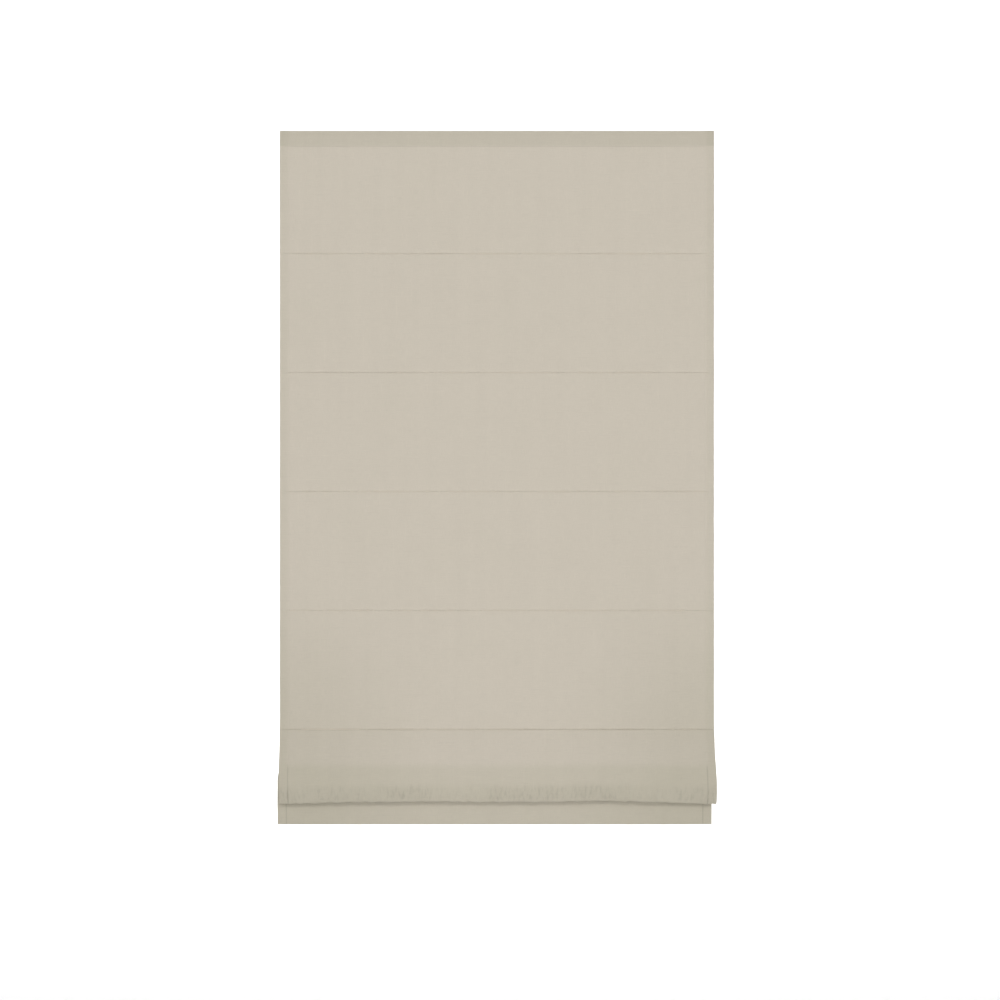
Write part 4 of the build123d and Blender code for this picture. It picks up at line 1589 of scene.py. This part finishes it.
@dataclass
class Tapes:
    """The hook and loop tapes behind the header and the sewn pockets round the rods.

    Attributes:
        hook_material: The hook tape's finish.
        loop_material: The loop tape's finish.
        pocket_material: The pockets' finish.
        thread: The finish of the sewing that holds the rings.
        cloth_thickness: Of the pocket tape.
        column: Between two columns of a tape's grid.
        selvage: How wide a tape's firm edge is.
        cord_place: How far the raised cord of a selvage is from the tape's edge.
        cord_width: Of that cord.
        wrap_end: The angle at which the pocket leaves the rod, in degrees.
        throat_drop: From the rod's middle down to where the pocket closes.
        thread_radius: Of the rings' sewing thread.
        thread_slack: How far a loop of it sags.
        thread_places: Where a ring's loops of thread lie across the ring.
        thread_lean: How much each loop leans from the next, in radians.
        ring_inset: From the end of a set of rings to the outer rings' middles.
        stitch_depth: How far the loops go into the pocket.
    """

    hook_material: bpy.types.Material
    loop_material: bpy.types.Material
    pocket_material: bpy.types.Material
    thread: bpy.types.Material
    cloth_thickness: float = 0.0005
    column: float = 0.009
    selvage: float = 0.0022
    cord_place: float = 0.0012
    cord_width: float = 0.0008
    wrap_end: float = -104.0
    throat_drop: float = 0.0046
    thread_radius: float = 0.00019
    thread_slack: float = 0.0003
    thread_places: tuple[float, ...] = (-0.0014, -0.0005, 0.0004, 0.0013)
    thread_lean: float = 0.12
    ring_inset: float = 0.0061
    stitch_depth: float = 0.0007

    def strip(self, node: str, material: bpy.types.Material) -> bpy.types.Object:
        """A woven strip with raised selvages that fills a flat tape's place.

        Args:
            node: The tape's node, which gives the strip its name.
            material: Its finish.

        Returns:
            The finished strip.
        """
        low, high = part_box(node)
        height = high.z - low.z
        across = np.linspace(low.x, high.x, int((high.x - low.x) / self.column))
        edge = np.array([0, 0.0006, 0.0012, 0.0018, self.selvage])
        along = np.concatenate([edge, np.linspace(edge[-1], height - edge[-1], 9)[1:-1],
                                (height - edge)[::-1]])
        tape = woven_grid(f"{node}_woven", across, along)
        x, up = cells(across, along)
        rim = np.minimum(up, height - up)
        thick = (high.y - low.y) * (0.78 + 0.16 * hump(rim - self.cord_place, self.cord_width))
        wave = 0.00004 * Ripple(301, 0.02, 0.2).over(x, up)
        middle = (low.y + high.y) / 2
        set_points(tape, np.stack([x, np.full_like(x, middle) + wave, low.z + up], axis=1))
        thicken(tape, float(thick.mean()))
        points = points_of(tape)
        rim = np.minimum(points[:, 2] - low.z, high.z - points[:, 2])
        swell = 1 + 0.12 * hump(rim - self.cord_place, self.cord_width)
        points[:, 1] = middle + (points[:, 1] - middle) * swell
        set_points(tape, points)
        dress(tape, material)
        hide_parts(node)
        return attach(tape, "head")

    def pocket_line(self, number: int) -> SideLine:
        """The folded tape's line: up behind the cloth, over and round the rod, and down again.

        Args:
            number: The rod's number, from the top.

        Returns:
            The line, as long as the pocket's tape.
        """
        low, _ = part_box(f"rod_pocket_{number}")
        rod_low, rod_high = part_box(f"rod_{number}")
        y, z = (rod_low.y + rod_high.y) / 2, (rod_low.z + rod_high.z) / 2
        radius = (rod_high.y - rod_low.y) / 2 + 0.0004 + self.cloth_thickness / 2
        front, back = y - radius, y - radius + self.cloth_thickness
        last = math.radians(self.wrap_end)
        last_point = (y + radius * math.cos(last), z + radius * math.sin(last))
        throat = (back, z - self.throat_drop)
        return SideLine([
            np.linspace((front, low.z), (front, z), 8),
            arc_points((y, z), radius, 180, self.wrap_end, 34),
            curve_points([last_point, (last_point[0] - 0.0012, last_point[1] - 0.0001),
                          (back, z - self.throat_drop + 0.0012), throat], 8),
            np.linspace(throat, (back, low.z), 5),
        ])

    def pocket(self, number: int, body: str) -> bpy.types.Object:
        """A pocket of folded tape, sewn to the back of the cloth.

        Args:
            number: The rod's number, from the top.
            body: The body that the rod moves with.

        Returns:
            The finished pocket.
        """
        node = f"rod_pocket_{number}"
        low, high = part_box(node)
        line = self.pocket_line(number)
        across = np.linspace(low.x, high.x, int((high.x - low.x) / self.column))
        along = line.lengths[::2]
        tape = woven_grid(f"{node}_tape", across, along)
        x, length = cells(across, along)
        y, z = line.at(length)
        loose = rise(length, 0.006, 0.010) * (1 - rise(length, line.end - 0.007, line.end - 0.004))
        swell = 0.00012 * loose * Ripple(310 + number, 0.02, 0.12).over(x, 3 * length)
        face_y, face_z = line.facing(length)
        sag = -0.00015 * loose * (1 + Ripple(320 + number, 0.08, 0.4).along(x))
        set_points(tape, np.stack([x, y + face_y * swell, z + face_z * swell + sag], axis=1))
        thicken(tape, self.cloth_thickness)
        dress(tape, self.pocket_material)
        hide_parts(node)
        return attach(tape, body)

    def thread_loop(self, reach: float) -> bpy.types.Object:
        """One loop of thread round a ring's wire and the pocket, slack at its lower end.

        Args:
            reach: How far the loop reaches, from inside the pocket to round the wire.

        Returns:
            The loop, about the origin.
        """
        deselect()
        bpy.ops.mesh.primitive_torus_add(
            major_segments=14, minor_segments=6, major_radius=reach / 2,
            minor_radius=self.thread_radius, rotation=(0, math.pi / 2, 0))
        loop = settle(bpy.context.active_object)
        bpy.ops.object.mode_set(mode="EDIT")
        bpy.ops.mesh.select_mode(type="VERT")
        bpy.ops.mesh.select_all(action="DESELECT")
        bpy.ops.object.mode_set(mode="OBJECT")
        lower = points_of(loop)[:, 2] < -0.25 * reach
        loop.data.vertices.foreach_set("select", lower)
        bpy.ops.object.mode_set(mode="EDIT")
        bpy.ops.transform.translate(value=(0, 0, -self.thread_slack))
        bpy.ops.transform.resize(value=(1, 0.8, 1))
        bpy.ops.object.mode_set(mode="OBJECT")
        return loop

    def ring_threads(self, number: int, body: str) -> bpy.types.Object:
        """The sewing that holds one rod's rings to its pocket: four loops of thread for each ring.

        Args:
            number: The rod's number, from the top.
            body: The body that the rod moves with.

        Returns:
            The finished threads of all three rings, as one piece.
        """
        low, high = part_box(f"rings_{number}")
        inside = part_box(f"rod_pocket_{number}")[1].y - self.stitch_depth
        wire = (high.z - low.z) / 2
        reach = low.y + 2 * wire + 0.0001 - inside
        middle = Vector((0, inside + reach / 2, (low.z + high.z) / 2))
        first = self.thread_loop(reach)
        loops = []
        for x in (low.x + self.ring_inset, 0.0, high.x - self.ring_inset):
            for turn, place in enumerate(self.thread_places):
                loop = copy_of(first)
                loop.location = middle + Vector((x + place, 0, 0.0001 * turn))
                loop.rotation_euler = (0, 0, self.thread_lean * (turn - 1.5))
                loops.append(settle(loop))
        bpy.data.objects.remove(first)
        thread = join(loops, f"ring_threads_{number}")
        take(thread)
        bpy.ops.object.shade_smooth()
        dress(thread, self.thread)
        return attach(thread, body)

    def build(self) -> list[bpy.types.Object]:
        """Makes both tapes, and for each rod its pocket and ring threads.

        Returns:
            The pieces, from the top down.
        """
        made = [
            self.strip("hook_tape", self.hook_material),
            self.strip("loop_tape", self.loop_material),
        ]
        for number in RODS:
            body = rod_body(number)
            made.append(self.pocket(number, body))
            made.append(self.ring_threads(number, body))
        return made


def rod_body(number: int) -> str:
    """The body that a rod moves with, by the rod's number from the top."""
    return "hem" if number == len(RODS) else f"pleat_{number}"


# ----------------------------------------------------------------- lift cords


@dataclass
class LiftCords:
    """Three braided cords, in one piece for each stretch between two levels of rings.

    Attributes:
        material: The cords' finish.
        radius: Of a cord.
        turns: How many turns lie on each spool.
        eyelet_drop: From the shaft down to the hole where a cord leaves its cradle.
        bend_drop: From the headrail down to where a cord bends towards the rings.
        anchor_floor: From the bottom of an anchor up to the cord's end.
    """

    material: bpy.types.Material
    radius: float = 0.0006
    turns: float = 6.5
    eyelet_drop: float = 0.0145
    bend_drop: float = 0.0074
    anchor_floor: float = 0.003

    def __post_init__(self) -> None:
        """Reads the cords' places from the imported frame."""
        self.x = [sum(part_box(f"lift_cord_{side}")[end].x for end in (0, 1)) / 2 for side in CORD_SIDES]
        shaft_low, shaft_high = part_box("lift_shaft")
        self.shaft_y = (shaft_low.y + shaft_high.y) / 2
        self.shaft_z = (shaft_low.z + shaft_high.z) / 2
        self.exit_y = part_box("lift_cord_centre")[1].y - self.radius
        self.eyelet_z = self.shaft_z - self.eyelet_drop
        self.bend_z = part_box("headrail")[0].z - self.bend_drop
        rings = [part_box(f"rings_{rod}") for rod in RODS]
        self.ring_y = (rings[0][0].y + rings[0][1].y) / 2
        self.ring_z = [(low.z + high.z) / 2 for low, high in rings]
        self.end_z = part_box("cord_anchors")[0].z + self.anchor_floor

    def stretch(self, name: str, route: Sequence[tuple[float, float]]) -> bpy.types.Object:
        """The same stretch of all three cords.

        Args:
            name: The piece's name.
            route: The stretch's control points, as (y, z).

        Returns:
            One mesh of three cords.
        """
        cords = []
        for x in self.x:
            curve = bpy.data.curves.new(name, "CURVE")
            curve.dimensions = "3D"
            curve.bevel_depth = self.radius
            curve.bevel_resolution = 2
            curve.resolution_u = 10
            curve.use_fill_caps = True
            spline = curve.splines.new("NURBS")
            spline.points.add(len(route) - 1)
            for point, (y, z) in zip(spline.points, route):
                point.co = (x, y, z, 1.0)
            spline.order_u = min(3, len(route))
            spline.use_endpoint_u = True
            cord = bpy.data.objects.new(name, curve)
            bpy.context.scene.collection.objects.link(cord)
            take(cord)
            bpy.ops.object.convert(target="MESH")
            cords.append(bpy.context.active_object)
        joined = dress(smooth(join(cords, name)), self.material)
        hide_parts(*(f"lift_cord_{side}" for side in CORD_SIDES))
        return joined

    def wrap(self, side: str) -> bpy.types.Object:
        """The turns that lie on one spool: a round section screwed along the shaft.

        Args:
            side: Which of the three cords it is.

        Returns:
            The finished turns.
        """
        low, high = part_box(f"cord_wrap_{side}")
        wind = (high.z - low.z) / 2 - self.radius
        deselect()
        bpy.ops.mesh.primitive_circle_add(
            vertices=8, radius=self.radius, rotation=(math.pi / 2, 0, 0),
            location=(low.x + self.radius, self.shaft_y, self.shaft_z + wind))
        wrap = settle(named(bpy.context.active_object, f"cord_turns_{side}"))
        bpy.context.scene.cursor.location = (0, self.shaft_y, self.shaft_z)
        bpy.ops.object.origin_set(type="ORIGIN_CURSOR")
        screw = wrap.modifiers.new("turns", "SCREW")
        screw.axis = "X"
        screw.angle = math.tau * self.turns
        screw.screw_offset = high.x - low.x - 2 * self.radius
        screw.steps = int(self.turns * 26)
        screw.render_steps = screw.steps
        apply_all(wrap)
        bpy.ops.object.mode_set(mode="EDIT")
        bpy.ops.mesh.select_all(action="SELECT")
        bpy.ops.mesh.fill_holes(sides=0)
        bpy.ops.mesh.normals_make_consistent(inside=False)
        bpy.ops.object.mode_set(mode="OBJECT")
        dress(smooth(settle(wrap)), self.material)
        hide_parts(f"cord_wrap_{side}")
        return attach(wrap, "shaft")

    def travel(self, joint_name: str) -> tuple[Vector, float]:
        """A sliding joint's axis, and how far it goes, in metres."""
        joint = next(joint for joint in frame["joints"] if joint["name"] == joint_name)
        return Vector(joint["axis"]), joint["range_m"][1]

    def build(self) -> list[bpy.types.Object]:
        """Makes the cords from the spools down to the bottom bar's anchors.

        Returns:
            The pieces, from the top down.
        """
        inside = self.stretch("cords_in_rail", [(self.exit_y, self.shaft_z), (self.exit_y, self.eyelet_z)])
        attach(inside, "head")
        first_ring = (self.ring_y, self.ring_z[0])
        made = [inside, *(self.wrap(side) for side in CORD_SIDES)]
        raise_axis, raised = self.travel("raise")
        pleat_axis, lifted = self.travel("pleat_2_rise")
        upper = self.stretch("cords_to_ring_1", [
            (self.exit_y, self.eyelet_z), (self.exit_y, self.bend_z), first_ring])
        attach(upper, "head")
        drop = Vector((0, first_ring[0] - self.exit_y, first_ring[1] - self.eyelet_z))
        1 - raised / abs(drop.dot(raise_axis))
        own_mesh(upper)
        made.append(upper)
        for number in range(1, 5):
            above, below = self.ring_z[number - 1], self.ring_z[number]
            run = self.stretch(f"cords_to_ring_{number + 1}", [(self.ring_y, above), (self.ring_y, below)])
            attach(run, f"pleat_{number}")
            1 - lifted / abs((below - above) * pleat_axis.z)
            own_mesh(run)
            made.append(run)
        last_route = [(self.ring_y, z) for z in self.ring_z[4:6]]
        last = self.stretch("cords_to_last_ring", last_route)
        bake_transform(last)
        tail = self.stretch("cords_in_anchors", [(self.ring_y, self.ring_z[5]), (self.ring_y, self.end_z)])
        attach(tail, "hem")
        return [*made, last, tail]


# ------------------------------------------------------------------- hardware


@dataclass(frozen=True)
class Hardware:
    """Every hard piece, which keeps its own shape and takes a detailed finish."""

    finishes: dict[str, object]

    def build(self) -> list[bpy.types.Object]:
        """Dresses each hard node by the start of its name, the longest match first.

        Returns:
            The dressed nodes.
        """
        starts = sorted(self.finishes, key=len, reverse=True)
        made = {start: finish.build() for start, finish in self.finishes.items()}
        dressed = []
        for name, node in sorted(frame["nodes"].items()):
            match = next((start for start in starts if name.startswith(start)), None)
            if match is None:
                continue
            for place in node.material_slots:
                place.material = made[match]
            dressed.append(node)
        return dressed


WHITE_RAIL: Colour = (0.66, 0.66, 0.64)
WHITE_NYLON: Colour = (0.70, 0.70, 0.67)
PALE_GREY: Colour = (0.52, 0.53, 0.54)
CHARCOAL: Colour = (0.045, 0.046, 0.05)

FINISHES = {
    "headrail": SprayedMetal("rail_powder_coat", WHITE_RAIL),
    "end_cap": Moulding("rail_cap_moulding", WHITE_RAIL, 0.42),
    "bracket": BrushedMetal("bracket_zinc_plate", (0.54, 0.55, 0.58), 0.38),
    "bracket_cam": BrushedMetal("cam_casting", (0.60, 0.61, 0.63), 0.44, (500.0, 500.0, 500.0)),
    "bracket_rivets": BrushedMetal("rivet_steel", (0.66, 0.66, 0.67), 0.28, (900.0, 900.0, 60.0)),
    "lift_shaft": BrushedMetal("shaft_mill_aluminium", (0.78, 0.79, 0.80), 0.30),
    "spool": Moulding("spool_nylon", WHITE_NYLON, 0.38),
    "cradle": Moulding("cradle_moulding", PALE_GREY, 0.5),
    "shaft_clips": Moulding("clip_moulding", CHARCOAL, 0.45),
    "motor_case": Moulding("motor_case_moulding", PALE_GREY, 0.5),
    "motor_cover": Moulding("motor_cover_moulding", WHITE_NYLON, 0.42),
    "motor_output_drum": Moulding("drum_acetal", CHARCOAL, 0.36),
    "motor_store_drum": Moulding("drum_acetal_small", CHARCOAL, 0.36),
    "motor_axle": BrushedMetal("axle_bright_steel", (0.68, 0.68, 0.69), 0.22),
    "motor_spring": BrushedMetal("spring_blued_strip", (0.36, 0.38, 0.44), 0.25, (6.0, 900.0, 900.0)),
    "brake_housing": Moulding("brake_moulding", PALE_GREY, 0.5),
    "brake_wheel": Moulding("brake_wheel_acetal", CHARCOAL, 0.36),
    "brake_spring": BrushedMetal("brake_spring_wire", (0.55, 0.56, 0.58), 0.26, (1200.0, 40.0, 40.0)),
    "rod_": GlassFibre(),
    "rings": Moulding("ring_clear_nylon", (0.82, 0.83, 0.82), 0.2, 0.1, 0.35),
    "cord_anchors": Moulding("anchor_moulding", WHITE_NYLON, 0.35),
    "bottom_bar": SprayedMetal("bar_lacquer", (0.78, 0.78, 0.76), 0.33),
    "bar_caps": Moulding("bar_cap_moulding", WHITE_NYLON, 0.45),
}


# --------------------------------------------------------------------- studio


@dataclass(frozen=True)
class SoftBox:
    """A flat soft lamp.

    Attributes:
        name: The lamp's name.
        power: In watts.
        size: Its width and height.
        place: Where it hangs.
        aim: The point it faces.
    """

    name: str
    power: float
    size: tuple[float, float]
    place: tuple[float, float, float]
    aim: tuple[float, float, float] = (0.0, 0.0, -0.8)

    def hang(self) -> bpy.types.Object:
        """Hangs the lamp, which the camera itself doesn't see.

        Returns:
            The lamp.
        """
        data = bpy.data.lights.new(self.name, "AREA")
        data.shape = "RECTANGLE"
        data.size, data.size_y = self.size
        data.energy = self.power
        lamp = bpy.data.objects.new(self.name, data)
        bpy.context.scene.collection.objects.link(lamp)
        lamp.location = self.place
        lamp.visible_camera = False
        facing = Vector(self.aim) - Vector(self.place)
        lamp.rotation_euler = facing.to_track_quat("-Z", "Y").to_euler()
        return lamp


LAMPS = (
    SoftBox("high_soft_box", 137.6, (3.0, 1.8), (0.0, -5.5, 3.0)),
    SoftBox("front_soft_box", 37.2, (1.9, 1.5), (0.05, -3.9, -0.95)),
    SoftBox("paper_soft_box", 650.0, (16.0, 0.9), (0.0, 1.6, 1.2), aim=(0.0, 4.3, -2.0)),
)


@dataclass
class Studio:
    """A white paper cove with its lamps and the camera.

    Attributes:
        paper: The cove's finish.
        lamps: What lights the blind and the paper.
        camera_place: Where the camera stands.
        focal: Its focal length, in millimetres.
        floor_gap: From the blind down to the floor.
        wall_y: Where the background stands.
        cove_radius: Of the sweep between the floor and the background.
        reach: How far the paper runs to each side and to the front.
        world_light: The strength of the room's even light.
        wall_top: How high the background is.
    """

    paper: bpy.types.Material
    lamps: tuple[SoftBox, ...] = LAMPS
    camera_place: tuple[float, float, float] = (0.007, -3.5275, -0.851)
    focal: float = 54.7
    floor_gap: float = 0.42
    wall_y: float = 4.6
    cove_radius: float = 1.2
    reach: float = 10.0
    world_light: float = 0.42
    wall_top: float = 6.0

    def camera(self) -> None:
        """Sets the camera level, straight in front of the blind."""
        data = bpy.data.cameras.new("front_camera")
        data.lens = self.focal
        data.sensor_width = 36.0
        data.clip_end = 60.0
        camera = bpy.data.objects.new("front_camera", data)
        bpy.context.scene.collection.objects.link(camera)
        camera.location = self.camera_place
        camera.rotation_euler = (math.pi / 2, 0, 0)
        bpy.context.scene.camera = camera

    def cove(self) -> bpy.types.Object:
        """The floor, swept up into the background.

        Returns:
            The paper.
        """
        floor_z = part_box("face_fabric")[0].z - self.floor_gap
        line = SideLine([
            np.linspace((-self.reach, 0.0), (self.wall_y - self.cove_radius, 0.0), 6),
            arc_points((self.wall_y - self.cove_radius, self.cove_radius), self.cove_radius, -90, 0, 24),
            np.linspace((self.wall_y, self.cove_radius), (self.wall_y, self.wall_top), 4),
        ])
        across = np.linspace(-self.reach, self.reach, 5)
        along = line.lengths
        sheet = woven_grid("paper_cove", across, along)
        x, length = cells(across, along)
        y, z = line.at(length)
        set_points(sheet, np.stack([x, y, floor_z + z], axis=1))
        take(sheet)
        bpy.ops.object.shade_smooth()
        dress(sheet, self.paper)
        return sheet

    def world(self) -> None:
        """Fills the room with an even white light."""
        world = bpy.data.worlds.new("studio_room")
        world.use_nodes = True
        backdrop = world.node_tree.nodes["Background"]
        backdrop.inputs["Color"].default_value = (1.0, 1.0, 1.0, 1.0)
        backdrop.inputs["Strength"].default_value = self.world_light
        bpy.context.scene.world = world

    def build(self) -> None:
        """Sets up the camera, paper, lamps and room light."""
        self.camera()
        self.cove()
        for lamp in self.lamps:
            lamp.hang()
        self.world()
        bpy.context.scene.view_settings.view_transform = "Standard"


# ----------------------------------------------------------------------- main


def report(made: Iterable[bpy.types.Object]) -> None:
    """Logs each piece that was made, with its number of faces."""
    for piece in made:
        LOG.info("%s: %d faces", piece.name, len(piece.data.polygons))


def main() -> None:
    """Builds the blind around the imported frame, one sub-assembly after another."""
    logging.basicConfig(level=logging.INFO, format="%(name)s %(message)s")
    Studio(StudioPaper().build()).build()
    drape = Drape()
    linen = Linen(tuple(drape.seams), drape.seams[4] + FOLD_SHADE_BELOW_SEAM, drape.fold_end).build()
    thread = Thread("linen_thread", (0.60, 0.54, 0.45), (0.46, 0.40, 0.32)).build()
    report(FaceCloth(drape, linen).build())
    report(StitchLine(drape, thread).build())
    hook = TapeWeave("hook_tape_weave", (0.74, 0.73, 0.70), (0.56, 0.55, 0.52), Weave.TAPE, 0.35)
    loop = TapeWeave("loop_tape_weave", (0.80, 0.79, 0.76), (0.64, 0.63, 0.60), Weave.TAPE, 0.9)
    pocket = TapeWeave("rod_pocket_weave", (0.66, 0.60, 0.50), (0.50, 0.44, 0.36), Weave.HERRINGBONE)
    report(Tapes(hook.build(), loop.build(), pocket.build(), thread).build())
    report(LiftCords(Braid().build()).build())
    report(Hardware(FINISHES).build())


if __name__ == "__main__":
    main()
